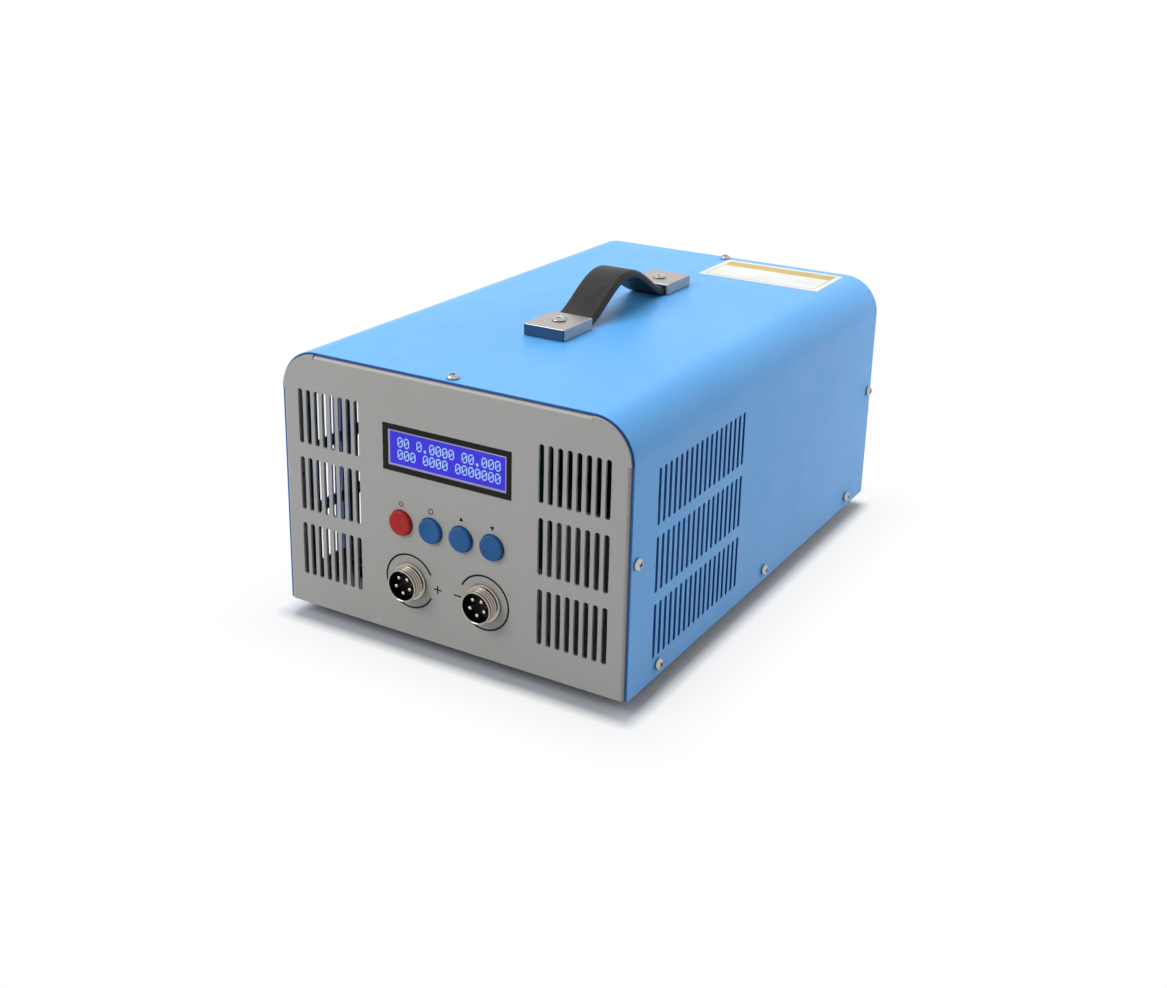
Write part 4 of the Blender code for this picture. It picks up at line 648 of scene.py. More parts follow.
class Sum:
    """A socket of a node tree; maths on it adds the nodes."""

    def __init__(self, graph, socket):
        self.graph = graph
        self.socket = socket

    def _math(self, operation, first, second=0.0):
        node = self.graph.node("ShaderNodeMath", {"operation": operation}, {0: first, 1: second})
        return Sum(self.graph, node.outputs[0])

    def __add__(self, other):
        return self._math("ADD", self, other)

    def __radd__(self, other):
        return self._math("ADD", other, self)

    def __sub__(self, other):
        return self._math("SUBTRACT", self, other)

    def __rsub__(self, other):
        return self._math("SUBTRACT", other, self)

    def __mul__(self, other):
        return self._math("MULTIPLY", self, other)

    def __rmul__(self, other):
        return self._math("MULTIPLY", other, self)

    def __abs__(self):
        return self._math("ABSOLUTE", self)

    def least(self, other):
        return self._math("MINIMUM", self, other)

    def most(self, other):
        return self._math("MAXIMUM", self, other)

    def root(self):
        return self._math("SQRT", self)

    def sine(self):
        return self._math("SINE", self)

    def clamp(self, low, high, to_low=0.0, to_high=1.0):
        """Map low..high to to_low..to_high, held at the ends."""
        node = self.graph.node("ShaderNodeMapRange", {"clamp": True},
                               {0: self, 1: low, 2: high, 3: to_low, 4: to_high})
        return Sum(self.graph, node.outputs[0])


class Graph:
    """A node tree that expressions are built in."""

    def __init__(self, tree):
        self.tree = tree

    def node(self, kind, settings=None, sockets=None):
        """Any node: its settings first, then the values or links of its sockets."""
        node = self.tree.nodes.new(kind)
        for key, value in (settings or {}).items():
            setattr(node, key, value)
        for key, value in (sockets or {}).items():
            self.feed(node.inputs[key], value)
        return node

    def feed(self, socket, value):
        """Link a socket to an expression, or set its value."""
        if isinstance(value, Sum):
            self.tree.links.new(value.socket, socket)
        elif isinstance(value, (tuple, list)) and len(value) == 3 and socket.type == "RGBA":
            socket.default_value = (*value, 1.0)
        else:
            socket.default_value = value

    def seen(self):
        """1 where the camera or a reflection looks, and 0 for all other light."""
        path = self.node("ShaderNodeLightPath")
        seen = Sum(self, path.outputs["Is Camera Ray"])
        for kind in ("Is Glossy Ray", "Is Transmission Ray"):
            seen = seen.most(Sum(self, path.outputs[kind]))
        return seen


class Finish(Graph):
    """A material with one Principled shader, built from expressions."""

    def __init__(self, name, colour, roughness, metallic=0.0, **sockets):
        self.material = bpy.data.materials.new(name)
        self.material.use_nodes = True
        super().__init__(self.material.node_tree)
        self.shader = self.tree.nodes["Principled BSDF"]
        self.set("Base Color", colour)
        self.set("Roughness", roughness)
        self.set("Metallic", metallic)
        for socket, value in sockets.items():
            self.set(socket.replace("_", " "), value)

    def set(self, name, value):
        """Feed one socket of the shader."""
        self.feed(self.shader.inputs[name], value)

    def place(self, scale=(1, 1, 1)):
        """Object coordinates, stretched along each axis."""
        coordinates = self.node("ShaderNodeTexCoord")
        mapping = self.node("ShaderNodeMapping", {}, {"Vector": Sum(self, coordinates.outputs["Object"]),
                                                      "Scale": scale})
        return Sum(self, mapping.outputs[0])

    def noise(self, scale, detail=3.0, roughness=0.5, stretch=(1, 1, 1)):
        """Noise between 0 and 1, in waves per metre."""
        node = self.node("ShaderNodeTexNoise", {}, {"Vector": self.place(stretch), "Scale": scale,
                                                    "Detail": detail, "Roughness": roughness})
        return Sum(self, node.outputs["Fac"])

    def blend(self, share, first, second):
        """Colour between two colours."""
        node = self.node("ShaderNodeMix", {"data_type": "RGBA"}, {0: share, 6: first, 7: second})
        return Sum(self, node.outputs[2])

    def tint(self, share, first, second):
        """Set the base colour between two colours, and return it."""
        colour = self.blend(share, first, second)
        self.set("Base Color", colour)
        return colour

    def bump(self, height, strength, distance):
        """Normal from a height."""
        node = self.node("ShaderNodeBump", {}, {"Height": height, "Strength": strength, "Distance": distance})
        self.set("Normal", Sum(self, node.outputs[0]))

    def along(self, axis):
        """One object coordinate in metres."""
        coordinates = self.node("ShaderNodeTexCoord")
        split = self.node("ShaderNodeSeparateXYZ", {}, {0: Sum(self, coordinates.outputs["Object"])})
        return Sum(self, split.outputs["XYZ".index(axis)])


def shade(colour, share):
    """A colour with each channel at a share of its value."""
    return tuple(channel * share for channel in colour)


def painted(name, colour, light, roughness=0.42, coat=0.25):
    """Baked paint: a faint drift of colour, kept as paint, and a fine orange-peel surface."""
    finish = Finish(name, colour, roughness, Coat_Weight=coat, Coat_Roughness=0.22, Specular_IOR_Level=0.35)
    finish.paint = finish.tint(finish.noise(9, 4).clamp(0.35, 0.65), colour, light)
    finish.set("Roughness", finish.noise(60, 4).clamp(0.2, 0.8, roughness - 0.05, roughness + 0.06))
    finish.bump(finish.noise(1500, 2), 0.12, 0.12 * MM)
    return finish


def cover_paint():
    """The cover's blue outside, and dark navy painted shade on its cut edges and its inner side, in its vents
    and at its front edge.
    """
    finish = painted("blue_paint", BLUE, BLUE_LIGHT, 0.4, 0.12)
    across = abs(finish.along("X")) - EAR_SIDE
    height = finish.along("Z") - EAR_LOW
    outer_across, outer_height = across.most(0.0), height.most(0.0)
    round_part = (outer_across * outer_across + outer_height * outer_height).root()
    depth = round_part + across.most(height).least(0.0) - COVER_BEND
    # Navy painted shade on the cut edges and the inner side
    inner = depth.clamp(-1.5 * SHADE_DEPTH, -SHADE_DEPTH, 1.0, 0.0)
    finish.tint(inner, finish.paint, NAVY_SHADE)
    return finish.material


def cap_metal():
    """Satin nickel, with painted shade on its upright sides and a painted dark blue reflection on its outer
    ends; its brushed top keeps the nickel's own colour.
    """
    finish = Finish("satin_nickel", NICKEL, 0.2, 1.0)
    front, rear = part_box("handle_cap_front"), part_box("handle_cap_rear")
    top = front[1].z
    middle, reach = (front[0].y + rear[1].y) / 2, (rear[1].y - front[0].y) / 2
    upper = finish.along("Z").clamp(*[top - inset for inset in TOP_SHADE_FADE])
    outer = abs(finish.along("Y") - middle).clamp(*[reach - inset for inset in END_REFLECTION_FADE])
    brushed = finish.noise(500, 3, 0.6, (25, 1, 1)).clamp(0.25, 0.75)
    worn = finish.blend(brushed, NICKEL, shade(NICKEL, 0.9))
    # Painted shade on the upright sides, a painted dark blue reflection on the outer ends, brushed nickel on
    # the top
    finish.tint(upper, finish.blend(outer, NICKEL_SIDE_SHADE, NICKEL_END_REFLECTION), worn)
    finish.set("Roughness", upper.clamp(0, 1, 0.1, 0.3))
    finish.set("Metallic", upper.most(outer).clamp(0, 1, 0.35, 1.0))
    finish.bump(brushed, 0.05, 0.04 * MM)
    return finish.material


def shell_metal():
    """Turned nickel, with painted shade in its thread's grooves and inside its bore."""
    finish = Finish("shell_nickel", SHELL, 0.2, 1.0)
    centre = middle_of("socket_shell_right")
    across = abs(finish.along("X")) - centre.x
    height = finish.along("Z") - centre.z
    radius = (across * across + height * height).root()
    groove = radius.clamp(*[SOCKET_RADIUS - inset for inset in GROOVE_SHADE_FADE], 1.0, 0.0)
    front = finish.along("Y").clamp(*[PANEL_FACE - SOCKET_REACH + inset for inset in MOUTH_SHADE_FADE])
    # Painted shade in the grooves and inside the bore, behind the mouth
    finish.tint(groove * front, SHELL, SHELL_GROOVE_SHADE)
    finish.set("Roughness", finish.noise(700, 3).clamp(0.3, 0.7, 0.14, 0.28))
    return finish.material


def strap_skin():
    """Black rubber with fine ribs along the strap and a worn sheen; the rib crests are tinted a little
    lighter as a painted highlight.
    """
    finish = Finish("strap_rubber", (0.02, 0.019, 0.018), 0.5, Specular_IOR_Level=0.22)
    ribs = (finish.along("X") * (math.tau / STRAP_RIB)).sine()
    worn = finish.noise(160, 4, 0.6, (1, 0.3, 1)).clamp(0.35, 0.75)
    # Random wear, plus a painted highlight that tints the rib crests lighter
    wear_and_rib_highlight = worn * 0.8 + ribs.clamp(-1, 1) * 0.2
    finish.tint(wear_and_rib_highlight, (0.015, 0.014, 0.013), (0.034, 0.032, 0.030))
    finish.set("Roughness", worn.clamp(0, 1, 0.42, 0.56))
    finish.bump(ribs + finish.noise(1400, 3) * 0.6, 0.35, 0.1 * MM)
    return finish.material


def metal_finish(name, colour, roughness):
    """Bare or plated metal with a fine grain."""
    finish = Finish(name, colour, roughness, 1.0)
    grain = finish.noise(900, 3, 0.6)
    finish.set("Roughness", grain.clamp(0.3, 0.7, roughness - 0.06, roughness + 0.08))
    finish.tint(finish.noise(70, 4).clamp(0.35, 0.7), colour, shade(colour, 0.86))
    finish.bump(grain, 0.1, 0.08 * MM)
    return finish.material


def moulded(name, colour, roughness, specular=0.35, coat=0.0, grain_scale=1800):
    """Moulded plastic or rubber with a fine grain."""
    finish = Finish(name, colour, roughness, Coat_Weight=coat, Coat_Roughness=0.15,
                    Specular_IOR_Level=specular)
    finish.set("Roughness", finish.noise(120, 3).clamp(0.3, 0.7, roughness - 0.04, roughness + 0.06))
    finish.tint(finish.noise(45, 4).clamp(0.35, 0.7), colour, shade(colour, 0.8))
    finish.bump(finish.noise(grain_scale, 2), 0.15, 0.08 * MM)
    return finish.material


def glowing(name, colour, strength):
    """Backlit surface with a soft unevenness."""
    finish = Finish(name, shade(colour, 0.08), 0.3, Specular_IOR_Level=0.1)
    glow = finish.noise(60, 2).clamp(0.3, 0.7)
    finish.set("Emission Color", finish.blend(glow, colour, shade(colour, 0.85)))
    finish.set("Emission Strength", strength)
    return finish.material


def make_finishes():
    """Every finish of the tester, by name."""
    made = {
        "blue_paint": cover_paint(),
        "grey_panel": painted("grey_panel", (0.36, 0.352, 0.33), (0.375, 0.366, 0.345), 0.48).material,
        "satin_nickel": cap_metal(),
        "shell_nickel": shell_metal(),
        "strap_rubber": strap_skin(),
    }
    plain = {
        metal_finish: {
            "zinc_sheet": ((0.42, 0.43, 0.44), 0.42),
            "bright_steel": ((0.5, 0.49, 0.48), 0.22),
            "plain_aluminium": ((0.6, 0.61, 0.62), 0.4),
        },
        glowing: {
            "display_blue": ((0.05, 0.04, 0.70), 0.95),
            "display_dots": ((0.42, 0.66, 1.0), 0.95),
            "display_edge": ((0.42, 0.42, 0.66), 0.7),
        },
        moulded: {
            "black_rubber": ((0.016, 0.016, 0.016), 0.62, 0.2),
            "black_metal": ((0.010, 0.008, 0.006), 0.5, 0.15),
            "black_plastic": ((0.008, 0.008, 0.008), 0.46, 0.2),
            "green_board": ((0.015, 0.11, 0.05), 0.4, 0.35, 0.3, 600),
            "red_cap": ((0.44, 0.012, 0.012), 0.42, 0.25),
            "blue_cap": ((0.012, 0.105, 0.29), 0.42, 0.25),
            "red_lead": ((0.45, 0.02, 0.02), 0.4),
            "black_lead": ((0.015, 0.015, 0.015), 0.4),
            "brown_lead": ((0.1, 0.035, 0.015), 0.4),
            "blue_lead": ((0.015, 0.06, 0.3), 0.4),
            "grey_ribbon": ((0.35, 0.35, 0.37), 0.5),
            "print_ink": ((0.008, 0.008, 0.009), 0.55, 0.15),
            "label_white": ((0.72, 0.73, 0.71), 0.4, 0.35, 0.1, 700),
            "label_gold": ((0.50, 0.36, 0.09), 0.4, 0.35, 0.1, 700),
            "white_mark": ((0.75, 0.75, 0.75), 0.45),
        },
    }
    for make, table in plain.items():
        for name, values in table.items():
            made[name] = make(name, *values)
    return made


FINISHES = make_finishes()


def dress(piece, finish, *replaces, slot=None, body="case"):
    """Give a finished piece its finish, its body and the nodes that it stands for; the slot is not used."""
    piece.data.materials.clear()
    piece.data.materials.append(FINISHES[finish])
    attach(piece, body)
    if replaces:
        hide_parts(*replaces)


# Case


def vent_cutter(first, axis, width, length, reach, columns, column_step, row_pitch):
    """Rows of slots in one cutter."""
    slots = upright_slot("vents", first, axis, width, length, reach)
    repeat(slots, columns, column_step)
    return repeat(slots, VENT_ROWS, (0, 0, row_pitch))


def make_cover():
    """The blue cover: one bent sheet with its vents punched."""
    cover = add_block("cover_sheet", cover_low, cover_high)
    drop_faces(cover, lambda centre, normal: normal.z < -FACING or abs(normal.y) > FACING)
    round_edges(cover, lambda a, b: min(a.z, b.z) > TOP - HAIR and abs(a.x - b.x) < HAIR, COVER_BEND, 20)
    thicken(cover, COVER_SHEET)
    first = spot(0, SIDE_VENT_SETBACK, SIDE_VENT_LOWEST)
    cut(cover, vent_cutter(first, "X", SIDE_VENT_WIDTH, SIDE_VENT_LENGTH, CASE_WIDTH, SIDE_VENT_COLUMNS,
                           (0, SIDE_VENT_PITCH, 0), SIDE_VENT_ROW_PITCH))
    soften(cover, CUT_EDGE)
    dress(cover, "blue_paint", "cover")


def trim_panel(name, face, inward):
    """Front of a panel's blank: straight at its folds, full at its two round corners."""
    low = panel_low.z
    full, full_top = PANEL_HALF + EAR_OVERLAP, PANEL_TOP + EAR_OVERLAP
    near, far = sorted((face, face + inward * PANEL_SHEET))
    blank = add_block(name, (-full, near, low), (full, far, full_top))
    round_edges(blank, lambda a, b: deep(a, b) and min(a.z, b.z) > full_top - HAIR, full - EAR_SIDE, 24)
    near, far = near - PANEL_SHEET, far + PANEL_SHEET
    cut(blank, add_block("trim", (-EAR_SIDE, near, FOLD_TOP), (EAR_SIDE, far, 2 * TOP)))
    trims = (
        (FOLD, CASE_WIDTH, low - PANEL_SHEET, EAR_LOW),
        (FOLD - EAR_SLIT, CASE_WIDTH, EAR_LOW - EAR_SLIT, EAR_LOW),
        (EAR_SIDE - EAR_SLIT, EAR_SIDE, FOLD_TOP - EAR_SLIT, 2 * TOP),
    )
    for side in (-1, 1):
        for inner, outer, bottom, upper in trims:
            start, end = sorted((side * inner, side * outer))
            cut(blank, add_block("trim", (start, near, bottom), (end, far, upper)))
    return drop_faces(blank, lambda centre, normal: normal.y * inward > -FACING)


def folded_panel(name, face, inward):
    """A panel of one sheet, folded back at both sides and at the top between its round corners."""
    reach = inward * (panel_high.y - panel_low.y)
    panel = trim_panel(name, face, inward)
    side_end, top_end = EAR_LOW - EAR_SLIT + HAIR, EAR_SIDE - EAR_SLIT + HAIR
    flanges = (
        (lambda co: abs(co.x + FOLD) < HAIR and co.z < side_end, (-PANEL_BEND, 0, 0)),
        (lambda co: abs(co.x - FOLD) < HAIR and co.z < side_end, (PANEL_BEND, 0, 0)),
        (lambda co: abs(co.z - FOLD_TOP) < HAIR and abs(co.x) < top_end, (0, 0, PANEL_BEND)),
    )
    for on_fold, widen in flanges:
        pick(panel, "edges", lambda a, b: on_fold(a) and on_fold(b))
        for move in (widen, (0, reach, 0)):
            bpy.ops.mesh.extrude_edges_move(TRANSFORM_OT_translate={"value": move})
        done()

    def at_corner(co):
        return abs(co.y - face) < HAIR and (abs(abs(co.x) - PANEL_HALF) < HAIR
                                            or abs(co.z - PANEL_TOP) < HAIR)

    round_edges(panel, lambda a, b: at_corner(a) and at_corner(b)
                and (abs(a.x - b.x) < HAIR or abs(a.z - b.z) < HAIR), BEND_SHARE * PANEL_BEND, 6)
    outward(panel)
    if max(panel.data.polygons, key=lambda face: face.area).normal.y * inward > 0:
        edit_all(panel)
        bpy.ops.mesh.flip_normals()
        done()
    return thicken(panel, PANEL_SHEET)


def drill(panel, node, radius, face, sides=48):
    """Cut a round hole through a panel at a CAD node."""
    middle = middle_of(node)
    cut(panel, add_rod("hole", (middle.x, face - THROUGH, middle.z),
                       (middle.x, face + THROUGH, middle.z), radius, sides))


def open_panel(panel, node, inset, face):
    """Cut an opening through a panel for a CAD node, set in by a margin and with a gap all round."""
    cut(panel, framed("opening", node, inset - GAP, face - THROUGH, face + THROUGH))


def make_front_panel():
    """The printed front panel with its vents and holes."""
    panel = folded_panel("front_plate", PANEL_FACE, 1)
    for side in (-1, 1):
        first = Vector((side * FRONT_VENT_INNER, PANEL_FACE, BASE + FRONT_VENT_LOWEST))
        cut(panel, vent_cutter(first, "Y", FRONT_VENT_WIDTH, FRONT_VENT_LENGTH, THROUGH, FRONT_VENT_COLUMNS,
                               (side * FRONT_VENT_PITCH, 0, 0), FRONT_VENT_ROW_PITCH))
    for node in BUTTON_NODES:
        drill(panel, node, BUTTON_HOLE, PANEL_FACE)
    for node in SHELL_NODES:
        drill(panel, node, SOCKET_RADIUS, PANEL_FACE)
    open_panel(panel, "display_frame", 0, PANEL_FACE)
    soften(panel, CUT_EDGE)
    dress(panel, "grey_panel", "front_panel")


def cross(name, reach, wing, low, high):
    """A cross-shaped tool that narrows downwards, as two crossed blocks."""
    arms = []
    for half_x, half_y in ((reach, wing), (wing, reach)):
        arm = add_block(name, (-half_x, -half_y, low), (half_x, half_y, high))
        pick(arm, "verts", lambda co: co.z < low + HAIR)
        bpy.ops.transform.resize(value=(RECESS_TAPER, RECESS_TAPER, 1), center_override=(0, 0, low))
        done()
        arms.append(arm)
    return weld(*arms)


def screw(name, head_radius, head_height, shank_radius, shank_length, reach, wing):
    """A pan head with a cross recess, seated at the origin and facing up; also a dark cross of painted shade
    for the bottom of the recess.
    """
    flank, floor = HEAD_FLANK * head_height, RECESS_FLOOR * head_height
    rings = [(shank_radius, -shank_length), (shank_radius, 0), (head_radius, 0), (head_radius, flank)]
    for share in HEAD_SHARES:
        angle = share * math.pi / 2
        rings.append((head_radius * math.cos(angle), flank + (head_height - flank) * math.sin(angle)))
    head = turned(name, rings, (0, 0, 0), (0, 0, 1), 40)
    cut(head, cross("recess", reach, wing, floor, 2 * head_height))
    # A dark cross that paints the shade in the bottom of the recess
    bottom = cross("bottom", RECESS_SHADE_REACH * reach, RECESS_SHADE_WING * wing, floor, RECESS_SHADE_HEIGHT * head_height)
    return soften(head, HEAD_EDGE * head_radius, degrees=35), bottom


def make_screws():
    """The case's pan-head screws, each in its node's place, and the two in the strap's caps."""
    pattern, pattern_recess_shade = screw("screw_pattern", HEAD_RADIUS, HEAD_HEIGHT, SHANK_RADIUS, SHANK_LENGTH,
                                    RECESS_REACH, RECESS_WING)
    recess_shades = []
    turn = 0.0
    for start, way in SCREW_WAYS.items():
        way = Vector(way)
        for node in nodes_named(start):
            low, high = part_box(node)
            place = (low + high) / 2 + way * (SHANK_LENGTH - abs((high - low).dot(way)) / 2)
            turn += SCREW_TURN
            spun = facing(place, way) @ Matrix.Rotation(turn, 4, "Z")
            recess_shades.append(copy_to(pattern_recess_shade, "screw_recess_shade", spun))
            dress(smooth(copy_to(pattern, node + "_look", spun), 35), "bright_steel", node)
    for used in (pattern, pattern_recess_shade):
        bpy.data.objects.remove(used, do_unlink=True)
    for node in nodes_named("handle_screw_"):
        low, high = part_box(node)
        middle = (low + high) / 2
        length = high.z - low.z - CAD_CAP_HEAD
        head, bottom = screw(node + "_look", CAP_HEAD_RADIUS, CAP_HEAD_HEIGHT, CAP_SHANK_RADIUS, length,
                             CAP_RECESS_REACH, CAP_RECESS_WING)
        for part in (head, bottom):
            part.matrix_world = Matrix.Translation((middle.x, middle.y, low.z + length))
            settle(part)
        recess_shades.append(bottom)
        dress(smooth(head, 35), "bright_steel", node)
    # All the dark crosses of painted shade in the recesses, as one black piece
    dress(join(recess_shades, "screw_recess_shades"), "black_metal", slot="bright_steel")


def make_feet():
    """Push-in rubber feet with a rounded tread."""
    for node in nodes_named("foot_"):
        low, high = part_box(node)
        middle = (low + high) / 2
        radius = (high.x - low.x) / 2
        seat = BASE + FOOT_SEAT - low.z
        rings = [(share * radius, rise * MM) for share, rise in FOOT_TREAD]
        rings += [(share * radius, seat + rise * MM) for share, rise in FOOT_FLANGE]
        rings.append((FOOT_TIP * radius, high.z - low.z))
        foot = turned(node + "_look", rings, (middle.x, middle.y, low.z), (0, 0, 1))
        dress(smooth(foot, 40), "black_rubber", node)


def make_caps():
    """Nickel caps over the strap's ends: closed outside, open below and towards the strap."""
    half = STRAP_WIDTH / 2 + GAP
    for side, way in (("front", 1), ("rear", -1)):
        node = "handle_cap_" + side
        low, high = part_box(node)
        top = high.z
        mouth, outer = (high.y, low.y) if way > 0 else (low.y, high.y)
        cap = add_block(node + "_look", low, high)
        round_edges(cap, lambda a, b: abs(a.x - b.x) < HAIR and abs(a.y - b.y) < HAIR
                    and abs(a.y - outer) < HAIR, CAP_CORNER, 4)
        round_edges(cap, lambda a, b: min(a.z, b.z) > top - HAIR, CAP_EDGE, 4)
        near, far = sorted((mouth + way * MM, outer + way * CAP_WALL))
        cut(cap, add_block("hollow", (-half, near, low.z - MM), (half, far, low.z + CAP_CAVITY)))
        place = middle_of("handle_screw_" + side)
        place.z = top
        cut(cap, turned("dish", CAP_DISH, place, (0, 0, 1)))
        cut(cap, add_rod("hole", (place.x, place.y, low.z), (place.x, place.y, top + MM), STRAP_HOLE))
        soften(cap, CAP_ROUND, degrees=35)
        dress(cap, "satin_nickel", node)


def strap_line():
    """Middle line of the strap: flat in the caps, and one arch between their mouths."""
    low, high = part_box("handle_strap")
    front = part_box("handle_cap_front")[1].y
    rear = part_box("handle_cap_rear")[0].y
    seat = low.z + STRAP_THICKNESS / 2
    line = [(low.y, seat), ((low.y + front) / 2, seat)]
    for step in range(STRAP_STEPS + 1):
        share = step / STRAP_STEPS
        rise = ((1 - math.cos(math.tau * share)) / 2) ** STRAP_FULLNESS
        line.append((front + (rear - front) * share, seat + STRAP_RISE * rise))
    line += [((high.y + rear) / 2, seat), (high.y, seat)]
    return line


def make_strap():
    """The strap: a band with rounded shoulders, extruded ring by ring along its arch."""
    line = strap_line()
    half = STRAP_WIDTH / 2
    under = line[0][1] - STRAP_THICKNESS / 2
    over = line[0][1] + STRAP_THICKNESS / 2
    strap = add_block("handle_strap_look", (-half, line[0][0], under), (half, line[1][0], over))
    for level, width, segments in ((over, STRAP_SHOULDER, 6), (under, STRAP_EDGE, 3)):
        round_edges(strap, lambda a, b: deep(a, b) and max(abs(a.z - level), abs(b.z - level)) < HAIR,
                    width, segments)
    end = line[1][0] - HAIR
    pick(strap, "faces", lambda centre, normal: centre.y > end and normal.y > FACING)
    tilt = 0.0
    for before, here, after in zip(line, line[1:], line[2:] + [(line[-1][0] + MM, line[-1][1])]):
        if here is not line[1]:
            step = (0, here[0] - before[0], here[1] - before[1])
            bpy.ops.mesh.extrude_region_move(TRANSFORM_OT_translate={"value": step})
        slope = math.atan2(after[1] - before[1], after[0] - before[0])
        bpy.ops.transform.rotate(value=tilt - slope, orient_axis="X",
                                 center_override=(0, here[0], here[1]))
        tilt = slope
    done()
    outward(strap)
    for node in nodes_named("handle_screw_"):
        depth = middle_of(node).y
        cut(strap, add_rod("hole", (0, depth, TOP), (0, depth, TOP + 20 * MM), STRAP_HOLE, 24))
    smooth(strap, 50)
    dress(strap, "strap_rubber", "handle_strap")


def make_display():
    """Black frame, backlit glass with a pale edge, and characters made of dots."""
    low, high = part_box("display_frame")
    bezel = add_block("display_bezel", low, high)
    cut(bezel, framed("hollow", "display_frame", DISPLAY_SHEET, low.y + DISPLAY_SHEET, high.y + MM))
    cut(bezel, framed("window", "display_frame", DISPLAY_RIM, low.y - MM, low.y + 2 * MM))
    soften(bezel, DISPLAY_CHAMFER, degrees=35)
    dress(bezel, "black_metal", "display_frame", slot="black_plastic")

    glass = add_block("display_glass_look", *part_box("display_glass"))
    soften(glass, GLASS_ROUND)
    dress(glass, "display_blue", "display_glass", slot="blue_display")
    face = low.y + DISPLAY_SHEET + GAP
    near, far = face - EDGE_FRONT, face - EDGE_BACK
    edge = framed("display_edge", "display_frame", DISPLAY_RIM - EDGE_OVERLAP, near, far)
    cut(edge, framed("window", "display_frame", DISPLAY_RIM + DISPLAY_EDGE, near - MM, far + MM))
    dress(edge, "display_edge", slot="blue_display")

    columns, rows = CHARACTER_DOTS
    centre = (low + high) / 2
    line_width = (CHARACTER_COLUMNS - 1) * CHARACTER_PITCH + (columns - 1) * DOT_PITCH_X
    text_height = (len(DISPLAY_ROWS) - 1) * CHARACTER_ROW_PITCH + (rows - 1) * DOT_PITCH_Z
    left = centre.x + TEXT_SHIFT - line_width / 2
    top = centre.z + text_height / 2
    width, height = DOT_PITCH_X * DOT_FILL / 2, DOT_PITCH_Z * DOT_FILL / 2
    dots = add_block("display_dots", (left - width, face - DOT_FRONT, top - height),
                     (left + width, face - DOT_BACK, top + height))
    repeat(dots, columns, (DOT_PITCH_X, 0, 0))
    repeat(dots, rows, (0, 0, -DOT_PITCH_Z))
    repeat(dots, CHARACTER_COLUMNS, (CHARACTER_PITCH, 0, 0))
    repeat(dots, len(DISPLAY_ROWS), (0, 0, -CHARACTER_ROW_PITCH))

    def unlit(centre, normal):
        line = int((top + DOT_PITCH_Z / 2 - centre.z) / CHARACTER_ROW_PITCH)
        column = int((centre.x - left + DOT_PITCH_X / 2) / CHARACTER_PITCH)
        across = round((centre.x - left - column * CHARACTER_PITCH) / DOT_PITCH_X)
        down = round((top - line * CHARACTER_ROW_PITCH - centre.z) / DOT_PITCH_Z)
        glyph = GLYPHS.get(DISPLAY_ROWS[line][column])
        return glyph is None or glyph[down][across] == "0"

    drop_faces(dots, unlit)
    dress(dots, "display_dots", slot="blue_display")


def make_buttons():
    """Round push buttons with a soft edge, each on its own body."""
    for node in BUTTON_NODES:
        middle = middle_of(node)
        tail = PANEL_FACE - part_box(node)[1].y
        rings = [(BUTTON_STEM_RADIUS, tail), (BUTTON_STEM_RADIUS, -BUTTON_SEAT - BUTTON_RIM),
                 (BUTTON_RIM_RADIUS, -BUTTON_SEAT - BUTTON_RIM), (BUTTON_RIM_RADIUS, -BUTTON_SEAT),
                 (BUTTON_RADIUS, -BUTTON_SEAT)]
        rings += [(BUTTON_RADIUS - inset * MM, BUTTON_REACH - drop * MM) for inset, drop in BUTTON_CROWN]
        cap = turned(node + "_look", rings, (middle.x, PANEL_FACE, middle.z), (0, -1, 0), 56)
        finish = "red_cap" if node == BUTTON_NODES[0] else "blue_cap"
        dress(smooth(cap, 35), finish, node, body=node)


def socket_shell(side, place):
    """A flanged nickel shell with grooves and a bore."""
    node = "socket_shell_" + side
    low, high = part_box(node)
    radius = (high.x - low.x) / 2
    tail = PANEL_FACE - high.y
    rings = [(SHELL_SHANK, tail), (SHELL_SHANK, GAP)]
    rings += [(radius - inset * MM, out * MM) for inset, out in SHELL_FLANGE]
    rings.append((SOCKET_RADIUS, SHELL_COLLAR))
    for groove in range(THREAD_COUNT):
        start = THREAD_START + groove * THREAD_PITCH
        rings += [(SOCKET_RADIUS, start), (SOCKET_RADIUS - THREAD_DEPTH, start + THREAD_VALLEY),
                  (SOCKET_RADIUS, start + THREAD_END)]
    rings += [(SOCKET_RADIUS, SOCKET_REACH - SHELL_EDGE), (SHELL_MOUTH, SOCKET_REACH)]
    shell = turned(node + "_look", rings, place, (0, -1, 0), 64)
    rings = [(SHELL_THROAT, tail - MM), (SHELL_THROAT, SOCKET_SHOULDER), (SOCKET_BORE, SOCKET_SHOULDER),
             (SOCKET_BORE, SOCKET_REACH - GAP), (SOCKET_FLARE, SOCKET_REACH + 0.1 * MM)]
    cut(shell, turned("bore", rings, place, (0, -1, 0), 64))
    dress(smooth(shell), "shell_nickel", node, slot="satin_nickel")


def socket_insert(node, place, tail):
    """A black insert with a key at the top of its bore."""
    radius = SOCKET_BORE - GAP
    shoulder = SOCKET_SHOULDER + GAP
    rings = [(INSERT_TAIL, tail + INSERT_TAIL_GAP), (INSERT_TAIL, shoulder), (radius, shoulder),
             (radius, SOCKET_FACE - INSERT_EDGE), (radius - INSERT_EDGE, SOCKET_FACE)]
    insert = turned(f"{node}_look", rings, place, (0, -1, 0), 56)
    across, depth, height = place
    key = ((across - KEY_HALF, depth - SOCKET_REACH + KEY_SETBACK, height + KEY_LOW),
           (across + KEY_HALF, depth - SOCKET_FACE + KEY_SINK, height + KEY_HIGH))
    weld(insert, add_block("key", *key))
    dress(smooth(insert), "black_plastic", node)


